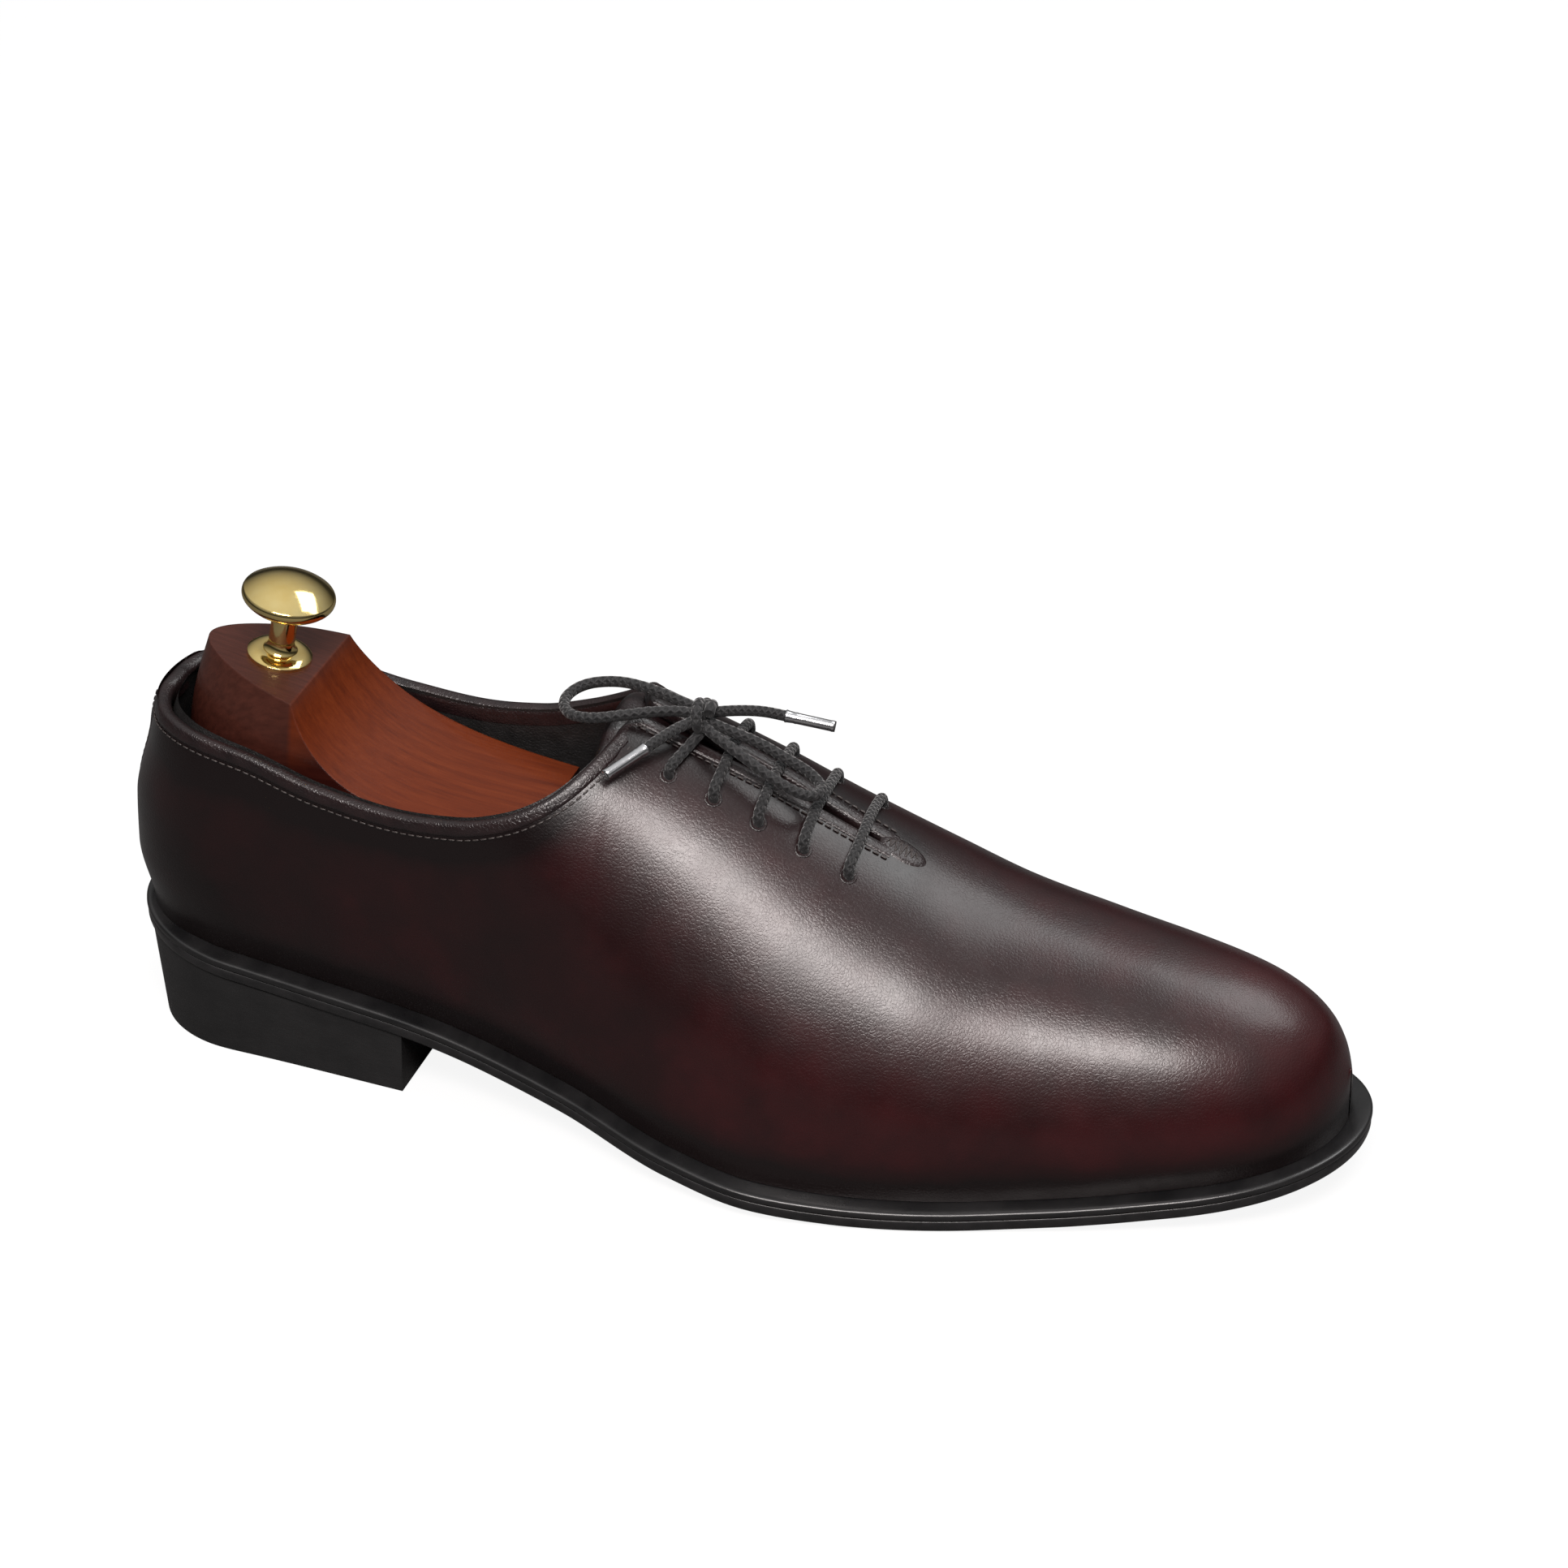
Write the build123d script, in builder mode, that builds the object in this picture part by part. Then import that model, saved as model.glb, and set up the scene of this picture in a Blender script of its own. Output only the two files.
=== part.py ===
"""A man's wholecut oxford shoe, right foot, laced and kept on a sprung wooden shoe tree.

The shoe is drawn on its own station line: a station is the distance in millimetres from the back of the
heel, and a side distance is measured from the heel's centre line, with the outer (lateral) side negative.
ROW_X and ROW_Y move that line into the row frame: +X to the toe, +Z up, origin under the shoe's middle.
"""
from build123d import *
import os
from math import atan2, cos, pi, radians, sin, sqrt, tan

# ---- driving dimensions, millimetres ----------------------------------------------------------------
LENGTH = 303.0            # outsole, heel back to toe tip
EDGE = 5.0                # welt and outsole edge together
WELT_THICK = 2.0
LEDGE = 5.5               # welt showing outside the upper
HEEL_LEDGE = 3.0          # the same behind the heel
UPPER_BACK = HEEL_LEDGE
UPPER_TOE = LENGTH - LEDGE
UPPER_THICK = 1.3
MIDDLE_THICK = 0.88
LINING_THICK = 0.88
GLUE = 0.12               # glue line left between two bonded layers
MARGIN = 14.0             # leather lasted under the insole, all round
INSOLE_THICK = 2.4
BREAST = 76.0             # station of the heel's front face
LACE = 2.6                # round waxed lace
EYELET_RADIUS = 1.6
EYELET_ROWS = [138.5 + 10.9 * k for k in range(5)]
EYELET_SIDE = 13.5
SLIT_END = 190.0
THROAT = 127.0
PIVOT = (112.0, -3.0, 41.0)          # shoe tree hinge: station, side, height
TUBE_RADIUS = 5.0

# ---- shapes along the shoe: (station, value) --------------------------------------------------------
SOLE_LATERAL = [(0, 27.5), (30, 28.3), (60, 31.0), (90, 34.3), (120, 41.3), (150, 52.8), (172, 56.8),
                (190, 55.3), (215, 51.0), (240, 45.6), (265, 41.0), (303, 39.7)]
SOLE_MEDIAL = [(0, 27.5), (30, 28.0), (60, 27.3), (90, 24.0), (112, 22.8), (135, 26.0), (155, 32.0),
               (175, 38.0), (195, 41.5), (215, 42.0), (240, 39.5), (265, 36.5), (303, 35.5)]
TOE_SWING = [(0, 0.0), (160, 0.0), (200, 1.8), (240, 5.2), (275, 7.6), (303, 8.0)]
SEAT_LINE = [(0, 30.6), (30, 25.6), (78, 21.0), (108, 16.2), (140, 11.0), (170, 7.2), (195, 5.3),
             (210, 5.0), (232, 5.8), (262, 8.6), (285, 11.6), (303, 14.5)]
RIDGE = [(3, 60), (5, 77), (8, 88), (14, 99), (24, 107), (40, 111), (70, 111), (100, 108), (118, 102.5),
         (128, 98.5), (138, 94.5), (158, 86.5), (178, 77), (198, 68), (217, 60.5), (237, 55.5),
         (257, 51.5), (276, 47), (285, 43.3), (291, 39), (295, 33.5), (297.5, 27)]
RIDGE_SIDE = [(3, 0), (100, 0), (140, 4.0), (190, 5.5), (230, 3.5), (270, 0.5), (303, 0)]
WALL_LATERAL = [(3, 27.5), (30, 28.5), (60, 31.0), (90, 34.0), (120, 40.5), (150, 47.0), (175, 50.0),
                (200, 49.0), (230, 43.5), (260, 38.0), (303, 35.0)]
WALL_MEDIAL = [(3, 27.0), (30, 28.0), (60, 29.0), (90, 28.5), (120, 31.5), (150, 35.5), (175, 39.5),
               (200, 41.0), (230, 39.5), (260, 35.0), (303, 32.0)]
TOP_LATERAL = [(3, 27.0), (30, 28.5), (60, 31.5), (90, 35.0), (120, 41.0), (150, 45.0), (200, 48.0),
               (230, 43.5), (260, 38.0), (303, 33.0)]
TOP_MEDIAL = [(3, 26.5), (30, 28.0), (60, 30.5), (90, 33.0), (120, 37.0), (150, 40.0), (200, 41.0),
              (230, 38.0), (260, 33.0), (303, 29.0)]
FULLNESS = [(3, 5.0), (90, 4.5), (118, 3.2), (140, 2.4), (170, 2.2), (230, 2.3), (303, 2.5)]
TOPLINE = [(0, 86.5), (12, 86.5), (36, 83.8), (58, 78.6), (78, 76.6), (92, 77.8), (104, 81.2), (114, 86.0),
           (121, 91.5), (127, 98.0), (132, 106.0)]

WALL_LEVEL = 0.35         # share of the height where the wall is as wide as WALL_*
HEEL_ROUND = 28.0         # length over which the plan rounds off at the heel
TOE_ROUND = 48.0
STATIONS = [3, 4, 6, 9.5, 15, 23, 34, 50, 70, 92, 114, 132, 150, 170, 192, 214, 234, 252, 266, 277,
            286, 291.5, 295, 296.8, 297.5]
LEVELS = [0.0, 0.10, 0.24, 0.42, 0.60, 0.77, 0.90, 0.975]

FAR = 400.0               # long enough to pass right through the shoe


def blend(table, at):
    """Smooth value between the table's pairs, with no overshoot (monotone cubic)."""
    xs = [pair[0] for pair in table]
    ys = [pair[1] for pair in table]
    if at <= xs[0]:
        return float(ys[0])
    if at >= xs[-1]:
        return float(ys[-1])
    slopes = [(ys[i + 1] - ys[i]) / (xs[i + 1] - xs[i]) for i in range(len(xs) - 1)]
    knots = [slopes[0]] + [mean_slope(a, b) for a, b in zip(slopes, slopes[1:])] + [slopes[-1]]
    i = max(k for k in range(len(xs) - 1) if xs[k] <= at)
    span = xs[i + 1] - xs[i]
    u = (at - xs[i]) / span
    start = ys[i] * (1 + 2 * u) * (1 - u) ** 2 + knots[i] * span * u * (1 - u) ** 2
    return start + ys[i + 1] * u * u * (3 - 2 * u) + knots[i + 1] * span * u * u * (u - 1)


def mean_slope(a, b):
    """Harmonic mean of two slopes, or flat where they turn back."""
    return 2 * a * b / (a + b) if a * b > 0 else 0.0


def rounding(along, length, power):
    """Share of the full width left at a distance from the tip of a rounded end."""
    q = 1 - min(max(along / length, 0.0), 1.0)
    return (1 - q**power) ** (1 / power)


def sole_side(station, side):
    """Side distance of the sole's edge: side -1 is lateral, +1 medial."""
    table = SOLE_MEDIAL if side > 0 else SOLE_LATERAL
    ends = rounding(station, HEEL_ROUND + 3, 2.1) * rounding(LENGTH - station, TOE_ROUND + 4, 2.05)
    return blend(TOE_SWING, station) + side * blend(table, station) * ends


def widest(side):
    return max(side * sole_side(s, side) for s in range(1, int(LENGTH)))


ROW_X = -LENGTH / 2
ROW_Y = (widest(-1) - widest(1)) / 2


def at(station, side, height):
    """Row-frame point of a station, side distance and height."""
    return (station + ROW_X, side + ROW_Y, height)


def seat(station):
    """Height of the welt's top, where the upper meets it."""
    return blend(SEAT_LINE, station)


# ---- the last: the body that the upper is stretched over ---------------------------------------------
def half_width(station, level, inset, side):
    """Half width of the last at a share of its height, inside the upper's outer face by inset."""
    ledge = LEDGE if station > 20 else HEEL_LEDGE + (LEDGE - HEEL_LEDGE) * station / 20
    foot = blend(SOLE_MEDIAL if side > 0 else SOLE_LATERAL, station) - ledge
    wall = blend(WALL_MEDIAL if side > 0 else WALL_LATERAL, station)
    top = blend(TOP_MEDIAL if side > 0 else TOP_LATERAL, station)
    if level < WALL_LEVEL:
        body = foot + (wall - foot) * sin(pi / 2 * level / WALL_LEVEL)
    else:
        body = wall + (top - wall) * (1 - cos(pi * (level - WALL_LEVEL) / (1 - WALL_LEVEL))) / 2
    heel_end = rounding(station - UPPER_BACK + 0.6, HEEL_ROUND, 2.2)
    ends = heel_end * rounding(UPPER_TOE + 0.4 - station, TOE_ROUND, 2.1)
    return ends * (body - inset) * sqrt(1 - level ** blend(FULLNESS, station))


def last_section(station, inset, lift):
    """Section points, lateral foot over the ridge to medial foot, as (side, height)."""
    shrink = (UPPER_TOE - UPPER_BACK) / (UPPER_TOE - UPPER_BACK - 2 * inset)
    mapped = UPPER_BACK + (station - UPPER_BACK - inset) * shrink
    low = seat(station) + lift
    high = blend(RIDGE, mapped) - inset
    middle = blend(TOE_SWING, station)
    crown = middle + blend(RIDGE_SIDE, station)

    def point(level, side):
        lean = middle + (crown - middle) * level**2
        return (lean + side * half_width(mapped, level, inset, side), low + (high - low) * level)

    lateral = [point(level, -1) for level in LEVELS]
    medial = [point(level, 1) for level in reversed(LEVELS)]
    return lateral + [(crown, high)] + medial


def section_stations(inset, first=UPPER_BACK, last=UPPER_TOE):
    """The loft's stations for an inset form, squeezed to its shorter length."""
    squeeze = (UPPER_TOE - UPPER_BACK - 2 * inset) / (UPPER_TOE - UPPER_BACK)
    placed = [UPPER_BACK + inset + (s - UPPER_BACK) * squeeze for s in STATIONS]
    inner = [s for s in placed if first + 1 < s < last - 1]
    start = [placed[0]] if first <= placed[0] else [first]
    end = [placed[-1]] if last >= placed[-1] else [last]
    near_ends = [s for s in placed[1:-1] if s not in inner and first <= s <= last]
    return sorted(set(start + inner + near_ends + end))


def last_form(inset, lift, first=UPPER_BACK, last=UPPER_TOE):
    """Solid last, smaller than the upper's outside by inset and raised from the welt by lift."""
    with BuildPart() as form:
        for station in section_stations(inset, first, last):
            outline = last_section(station, inset, lift)
            with BuildSketch(Plane.YZ.offset(station + ROW_X)):
                with BuildLine():
                    over = Spline(*[(side + ROW_Y, height) for side, height in outline])
                    Line(over @ 1, over @ 0)
                make_face()
        loft()
    return form.part


def surface_point(station, side, inset=0.0):
    """Height of the last's surface above a station and side distance, on the side nearer the ridge."""
    points = last_section(station, inset, GLUE)
    edge = Spline(*[(a, b) for a, b in points])
    samples = [edge @ (k / 240) for k in range(241)]
    pairs = [(p.X, p.Y) for p in samples]
    for (x0, y0), (x1, y1) in zip(pairs, pairs[1:]):
        if x0 <= side <= x1:
            return y0 + (y1 - y0) * (side - x0) / max(x1 - x0, 1e-9)
    return pairs[120][1]


# ---- flat outlines and curved bands ------------------------------------------------------------------
def plan_points(inset, count=22):
    """Sole outline moved in by inset: points round the sole, lateral side first, in the row frame."""
    ring = []
    for k in range(2 * count):
        turn = pi * (k + 0.5) / count
        station = LENGTH / 2 * (1 - cos(turn))
        ring.append((station, sole_side(station, -1 if turn < pi else 1)))
    moved = []
    for k, (x, y) in enumerate(ring):
        x0, y0 = ring[k - 1]
        x1, y1 = ring[(k + 1) % len(ring)]
        run = sqrt((x1 - x0) ** 2 + (y1 - y0) ** 2)
        moved.append((x - inset * (y1 - y0) / run + ROW_X, y + inset * (x1 - x0) / run + ROW_Y))
    return moved


def plan_prism(inset, low, high):
    """The sole outline, moved in by inset, as an upright prism."""
    with BuildPart() as prism:
        with BuildSketch(Plane.XY.offset(low)):
            with BuildLine():
                Spline(*plan_points(inset), periodic=True)
            make_face()
        extrude(amount=high - low)
    return prism.part


def band(low, high, start=-5.0, end=LENGTH + 5.0):
    """A sheet that follows the seat line, from low to high above it, as wide as needed."""
    stations = [start] + [s for s in STATIONS if start + 2 < s < end - 2] + [end]
    under = [(s + ROW_X, seat(s) + low) for s in stations]
    over = [(s + ROW_X, seat(s) + high) for s in stations]
    with BuildPart() as sheet:
        with BuildSketch(Plane.XZ):
            with BuildLine():
                lower = Spline(*under)
                upper_line = Spline(*over)
                Line(lower @ 0, upper_line @ 0)
                Line(lower @ 1, upper_line @ 1)
            make_face()
        extrude(amount=FAR, both=True)
    return sheet.part


def station_slab(first, last):
    """Everything between two stations."""
    with BuildPart() as slab:
        with Locations(((first + last) / 2 + ROW_X, 0, 60)):
            Box(last - first, FAR, FAR)
    return slab.part


def above_topline(drop=0.0):
    """Everything above the topline, moved down by drop."""
    line = [(s + ROW_X, z - drop) for s, z in TOPLINE]
    left = -LENGTH
    with BuildPart() as cut:
        with BuildSketch(Plane.XZ):
            with BuildLine():
                edge = Spline(*line)
                Polyline(edge @ 1, ((edge @ 1).X, FAR), (left, FAR), (left, (edge @ 0).Y), edge @ 0)
            make_face()
        extrude(amount=FAR, both=True)
    return cut.part


def slit_prism(widen=0.0):
    """The narrow opening between the facings, from the throat to the slit's end."""
    with BuildPart() as gap:
        with BuildSketch(Plane.XY.offset(40)):
            with BuildLine():
                Polyline(at(THROAT - 8, -3.4 - widen, 0)[:2], at(SLIT_END, -0.8 - widen, 0)[:2],
                         at(SLIT_END, 0.8 + widen, 0)[:2], at(THROAT - 8, 3.4 + widen, 0)[:2], close=True)
            make_face()
        extrude(amount=90)
    return gap.part


def eyelet_axis(row, side):
    """Direction square to the leather at an eyelet."""
    near = surface_point(row, side * (EYELET_SIDE - 2))
    far = surface_point(row, side * (EYELET_SIDE + 2))
    tilt = atan2(near - far, 4.0)
    return Vector(0, side * sin(tilt), cos(tilt))


def eyelet_pins(radius, rows=EYELET_ROWS):
    """Pins square to the leather through the ten eyelets."""
    with BuildPart() as pins:
        for row in rows:
            for side in (-1, 1):
                axis = eyelet_axis(row, side)
                middle = surface_point(row, side * EYELET_SIDE)
                centre = Vector(*at(row, side * EYELET_SIDE, middle))
                with BuildSketch(Plane(origin=centre - axis * 6, z_dir=axis)):
                    Circle(radius)
                extrude(amount=12)
    return pins.part


def finish(piece, name):
    """Label a finished piece and write it."""
    piece.label = name
    export_step(piece, f"parts/{name}.step")
    print(f"{name}: {len(piece.solids())} solids, {piece.volume / 1000:.2f} cm3")


os.makedirs("parts", exist_ok=True)

# ---- leather layers -----------------------------------------------------------------------------------
MIDDLE_IN = UPPER_THICK + GLUE
LINING_IN = MIDDLE_IN + MIDDLE_THICK + GLUE
CAVITY_IN = LINING_IN + LINING_THICK
FLANGE_TOP = GLUE + CAVITY_IN

upper_outside = last_form(0.0, GLUE)
upper_inside = last_form(UPPER_THICK, GLUE + UPPER_THICK)
middle_outside = last_form(MIDDLE_IN, GLUE + MIDDLE_IN)
middle_inside = last_form(MIDDLE_IN + MIDDLE_THICK, GLUE + MIDDLE_IN + MIDDLE_THICK)
lining_outside = last_form(LINING_IN, GLUE + LINING_IN)
cavity = last_form(CAVITY_IN, GLUE + CAVITY_IN)

window = plan_prism(LEDGE + MARGIN, -10, 60) & band(-1, FLANGE_TOP + 1.0)
opening = above_topline()
under_binding = above_topline(2.4)
slit = slit_prism()
eyelets = eyelet_pins(EYELET_RADIUS)

TOE_PUFF_START = 236.0
COUNTER_END = 78.0
LINING_SEAM = 118.0
STAY_START = THROAT - 8
STAY_END = SLIT_END + 5
STAY_SIDE = 22.0

with BuildPart() as upper:
    add(upper_outside)
    add(upper_inside, mode=Mode.SUBTRACT)
    add(window, mode=Mode.SUBTRACT)
    add(under_binding, mode=Mode.SUBTRACT)
    add(slit, mode=Mode.SUBTRACT)
    add(eyelets, mode=Mode.SUBTRACT)
finish(upper.part, "upper")

with BuildPart() as middle_layer:
    add(middle_outside)
    add(middle_inside, mode=Mode.SUBTRACT)
    add(window, mode=Mode.SUBTRACT)
    add(above_topline(2.4 + 2.0), mode=Mode.SUBTRACT)
    add(slit_prism(0.6), mode=Mode.SUBTRACT)
    add(eyelets, mode=Mode.SUBTRACT)

with BuildPart() as stay_block:
    with Locations(at((STAY_START + STAY_END) / 2, 0, 90)):
        Box(STAY_END - STAY_START, 2 * STAY_SIDE, 80)

with BuildPart() as stay_clear:
    with Locations(at((STAY_START + STAY_END) / 2, 0, 90)):
        Box(STAY_END - STAY_START + 0.4, 2 * STAY_SIDE + 0.4, 80.4)

with BuildPart() as heel_counter:
    add(middle_layer.part)
    add(station_slab(-10, COUNTER_END), mode=Mode.INTERSECT)
finish(heel_counter.part, "heel_counter")

with BuildPart() as toe_puff:
    add(middle_layer.part)
    add(station_slab(TOE_PUFF_START, LENGTH + 10), mode=Mode.INTERSECT)
finish(toe_puff.part, "toe_puff")

with BuildPart() as eyelet_stays:
    add(middle_layer.part)
    add(stay_block.part, mode=Mode.INTERSECT)
finish(eyelet_stays.part, "eyelet_stays")

with BuildPart() as interlining:
    add(middle_layer.part)
    add(station_slab(COUNTER_END + 0.2, TOE_PUFF_START - 0.2), mode=Mode.INTERSECT)
    add(stay_clear.part, mode=Mode.SUBTRACT)
finish(interlining.part, "interlining")

with BuildPart() as whole_lining:
    add(lining_outside)
    add(cavity, mode=Mode.SUBTRACT)
    add(window, mode=Mode.SUBTRACT)
    add(under_binding, mode=Mode.SUBTRACT)
    add(slit_prism(0.6), mode=Mode.SUBTRACT)
    add(eyelets, mode=Mode.SUBTRACT)

with BuildPart() as quarter_lining:
    add(whole_lining.part)
    add(station_slab(-10, LINING_SEAM), mode=Mode.INTERSECT)
finish(quarter_lining.part, "quarter_lining")

with BuildPart() as vamp_lining:
    add(whole_lining.part)
    add(station_slab(LINING_SEAM + 0.1, LENGTH + 10), mode=Mode.INTERSECT)
finish(vamp_lining.part, "vamp_lining")

with BuildPart() as topline_binding:
    add(upper_outside)
    add(cavity, mode=Mode.SUBTRACT)
    add(above_topline(2.3), mode=Mode.INTERSECT)
    add(opening, mode=Mode.SUBTRACT)
    add(slit, mode=Mode.SUBTRACT)
finish(topline_binding.part, "topline_binding")

# ---- back strip: covers the back seam and folds over the topline ------------------------------------------
STRIP_HALF = 6.5
STRIP_THICK = 1.1
strip_outside = last_form(-0.1 - STRIP_THICK, GLUE, last=40.0)
strip_inside = last_form(-0.1, GLUE, last=44.0)
with BuildPart() as back_strip:
    add(strip_outside)
    add(strip_inside, mode=Mode.SUBTRACT)
    with Locations(at(8, 0, 58)):
        Box(30, 2 * STRIP_HALF, 53, mode=Mode.INTERSECT)
    add(opening, mode=Mode.SUBTRACT)
finish(back_strip.part, "back_strip")

# ---- tongue and its lining -----------------------------------------------------------------------------
TONGUE_IN = CAVITY_IN + LACE + 1.9
TONGUE_THICK = 1.1
TONGUE_START = 118.0
TONGUE_END = 198.0
tongue_forms = [last_form(TONGUE_IN + step, FLANGE_TOP, TONGUE_START, TONGUE_END)
                for step in (0.0, TONGUE_THICK, TONGUE_THICK + GLUE, TONGUE_THICK + GLUE + 0.7)]
with BuildPart() as tongue_sides:
    with BuildSketch(Plane.XY.offset(40)):
        with BuildLine():
            Polyline(at(TONGUE_START, -17, 0)[:2], at(TONGUE_END, -19, 0)[:2], at(TONGUE_END, 19, 0)[:2],
                     at(TONGUE_START, 17, 0)[:2], close=True)
        make_face()
    extrude(amount=80)

with BuildPart() as tongue:
    add(tongue_forms[0])
    add(tongue_forms[1], mode=Mode.SUBTRACT)
    add(tongue_sides.part, mode=Mode.INTERSECT)
finish(tongue.part, "tongue")

with BuildPart() as tongue_lining:
    add(tongue_forms[2])
    add(tongue_forms[3], mode=Mode.SUBTRACT)
    add(tongue_sides.part, mode=Mode.INTERSECT)
finish(tongue_lining.part, "tongue_lining")

# ---- bottom: insole, cork, shank, welt, outsole ----------------------------------------------------------
INSOLE_LOW = FLANGE_TOP + GLUE
INSOLE_TOP = INSOLE_LOW + INSOLE_THICK
with BuildPart() as insole:
    add(last_form(CAVITY_IN + 0.15, FLANGE_TOP))
    add(band(INSOLE_LOW, INSOLE_TOP), mode=Mode.INTERSECT)
finish(insole.part, "insole")

with BuildPart() as heel_pad:
    add(last_form(CAVITY_IN + 0.8, FLANGE_TOP))
    add(band(INSOLE_TOP + 0.05, INSOLE_TOP + 0.95, end=92), mode=Mode.INTERSECT)
    add(station_slab(-10, 88), mode=Mode.INTERSECT)
finish(heel_pad.part, "heel_pad")

with BuildPart() as shank:
    add(band(0.3, 1.5, 46, 142))
    with Locations(at(94, -3.5, 20)):
        Box(94, 10, 60, mode=Mode.INTERSECT)
finish(shank.part, "shank")

with BuildPart() as cork_filler:
    add(plan_prism(LEDGE + MARGIN + 0.15, -10, 60))
    add(band(0, FLANGE_TOP), mode=Mode.INTERSECT)
    add(shank.part, mode=Mode.SUBTRACT)
finish(cork_filler.part, "cork_filler")

with BuildPart() as bottom_filler:
    add(plan_prism(LEDGE + 3.1, -10, 60))
    add(band(-WELT_THICK, -0.06), mode=Mode.INTERSECT)
finish(bottom_filler.part, "bottom_filler")

with BuildPart() as welt:
    add(plan_prism(0.0, -10, 60))
    add(plan_prism(LEDGE + 3.0, -12, 62), mode=Mode.SUBTRACT)
    add(band(-WELT_THICK, 0), mode=Mode.INTERSECT)
finish(welt.part, "welt")

with BuildPart() as outsole:
    add(plan_prism(0.25, -10, 60))
    add(band(-EDGE, -WELT_THICK - 0.04), mode=Mode.INTERSECT)
finish(outsole.part, "outsole")

# ---- heel ---------------------------------------------------------------------------------------------
TOP_PIECE = 6.0
LIFT = 5.0


def heel_outline(inset, back):
    """Heel seen from above, moved in at the sides by inset and behind by back, as (station, side)."""
    stations = [0, 2, 7, 14, 23, 34, 48, 62, BREAST + 6]
    lateral = [(s, sole_side(max(s, 0.01), -1)) for s in stations]
    medial = [(s, sole_side(max(s, 0.01), 1)) for s in stations[1:]]
    ring = list(reversed(lateral)) + medial
    middle = 34.0
    squeeze = 1 - back / middle
    return [(middle + (s - middle) * (squeeze if s < middle else 1), y * (1 - inset / 30)) for s, y in ring]


with BuildPart() as heel_blank:
    for height, inset, back in ((0, 1.6, 3.8), (32, 0.4, 0.3)):
        with BuildSketch(Plane.XY.offset(height)):
            with BuildLine():
                outline = Spline(*[at(s, y, 0)[:2] for s, y in heel_outline(inset, back)])
                Line(outline @ 1, outline @ 0)
            make_face()
    loft()
    with BuildSketch(Plane.XZ):
        with BuildLine():
            Polyline((BREAST + ROW_X, -1), (BREAST + 1.5 + ROW_X, 40), (FAR, 40), (FAR, -1), close=True)
        make_face()
    extrude(amount=FAR, both=True, mode=Mode.SUBTRACT)

with BuildPart() as heel_nails:
    for station, side in ((16, -9), (16, 9), (36, -17), (36, 17), (60, -18), (60, 17)):
        with Locations(at(station, side, 8)):
            Cylinder(0.8, 13)
        with Locations(at(station, side, 1.2)):
            Cylinder(1.5, 0.8)


def heel_slice(low, high):
    """The part of the heel between two levels, with holes where its nails stand."""
    with BuildPart() as piece:
        add(heel_blank.part)
        with Locations((ROW_X, 0, (low + high) / 2)):
            Box(FAR, FAR, high - low, mode=Mode.INTERSECT)
        add(heel_nails.part, mode=Mode.SUBTRACT)
    return piece.part


finish(heel_nails.part, "heel_nails")
with BuildPart() as heel_top_piece:
    add(heel_slice(0, TOP_PIECE))
finish(heel_top_piece.part, "heel_top_piece")

with BuildPart() as heel_lift_lower:
    add(heel_slice(TOP_PIECE, TOP_PIECE + LIFT))
finish(heel_lift_lower.part, "heel_lift_lower")

with BuildPart() as heel_lift_upper:
    add(heel_slice(TOP_PIECE + LIFT, 40))
    add(band(-60, -EDGE - 0.04), mode=Mode.INTERSECT)
finish(heel_lift_upper.part, "heel_lift_upper")

# ---- leaf that guards the end of the slit --------------------------------------------------------------
LEAF_STATION = SLIT_END + 1.5
leaf_height = surface_point(LEAF_STATION, 0)
leaf_fall = (surface_point(LEAF_STATION - 4, 0) - surface_point(LEAF_STATION + 4, 0)) / 8
leaf_axis = Vector(sin(atan2(leaf_fall, 1)), -0.10, cos(atan2(leaf_fall, 1))).normalized()
with BuildPart() as slit_leaf:
    with BuildSketch(Plane(origin=Vector(*at(LEAF_STATION, 0, leaf_height)) + leaf_axis * 0.5,
                           x_dir=(1, 0, -leaf_fall), z_dir=leaf_axis)):
        SlotOverall(11, 6.4)
    extrude(amount=1.1)
finish(slit_leaf.part, "slit_leaf")

# ---- lace: one length held through the eyelets, and a bow ---------------------------------------------
LACE_RADIUS = LACE / 2
UNDER = CAVITY_IN + LACE_RADIUS + 0.5      # how far below the surface the lace runs inside
OVER = LACE_RADIUS + 0.8                   # and how far above it outside
KNOT = (143.0, -1.5, 98.0)
KNOT_RADIUS = 4.2


def over_leather(station, side, lift):
    """Point above (or, with a negative lift, under) the leather."""
    return at(station, side, surface_point(station, side) + lift)


def through_eyelet(number, side):
    """The lace's two corners at an eyelet: outside and inside."""
    row = EYELET_ROWS[number]
    axis = eyelet_axis(row, side)
    centre = Vector(*over_leather(row, side * EYELET_SIDE, 0))
    return [tuple(centre + axis * OVER), tuple(centre - axis * UNDER)]


def lace_bar(number, from_side):
    """Corners of a bar that leaves one eyelet and goes into the one across the slit."""
    row = EYELET_ROWS[number]
    out = list(reversed(through_eyelet(number, from_side)))
    middle = [over_leather(row, side, OVER + 0.3) for side in (from_side * 6.5, -from_side * 5.0)]
    return out + middle + through_eyelet(number, -from_side)


def corner_radii(points, longest):
    """The largest radius that each corner's shorter run allows, with a limit on the rounded length."""
    radii = []
    for before, here, after in zip(points, points[1:], points[2:]):
        come = Vector(*here) - Vector(*before)
        go = Vector(*after) - Vector(*here)
        turn = radians(come.get_angle(go))
        radii.append(min(0.45 * min(come.length, go.length), longest) / tan(turn / 2))
    return radii


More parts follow.
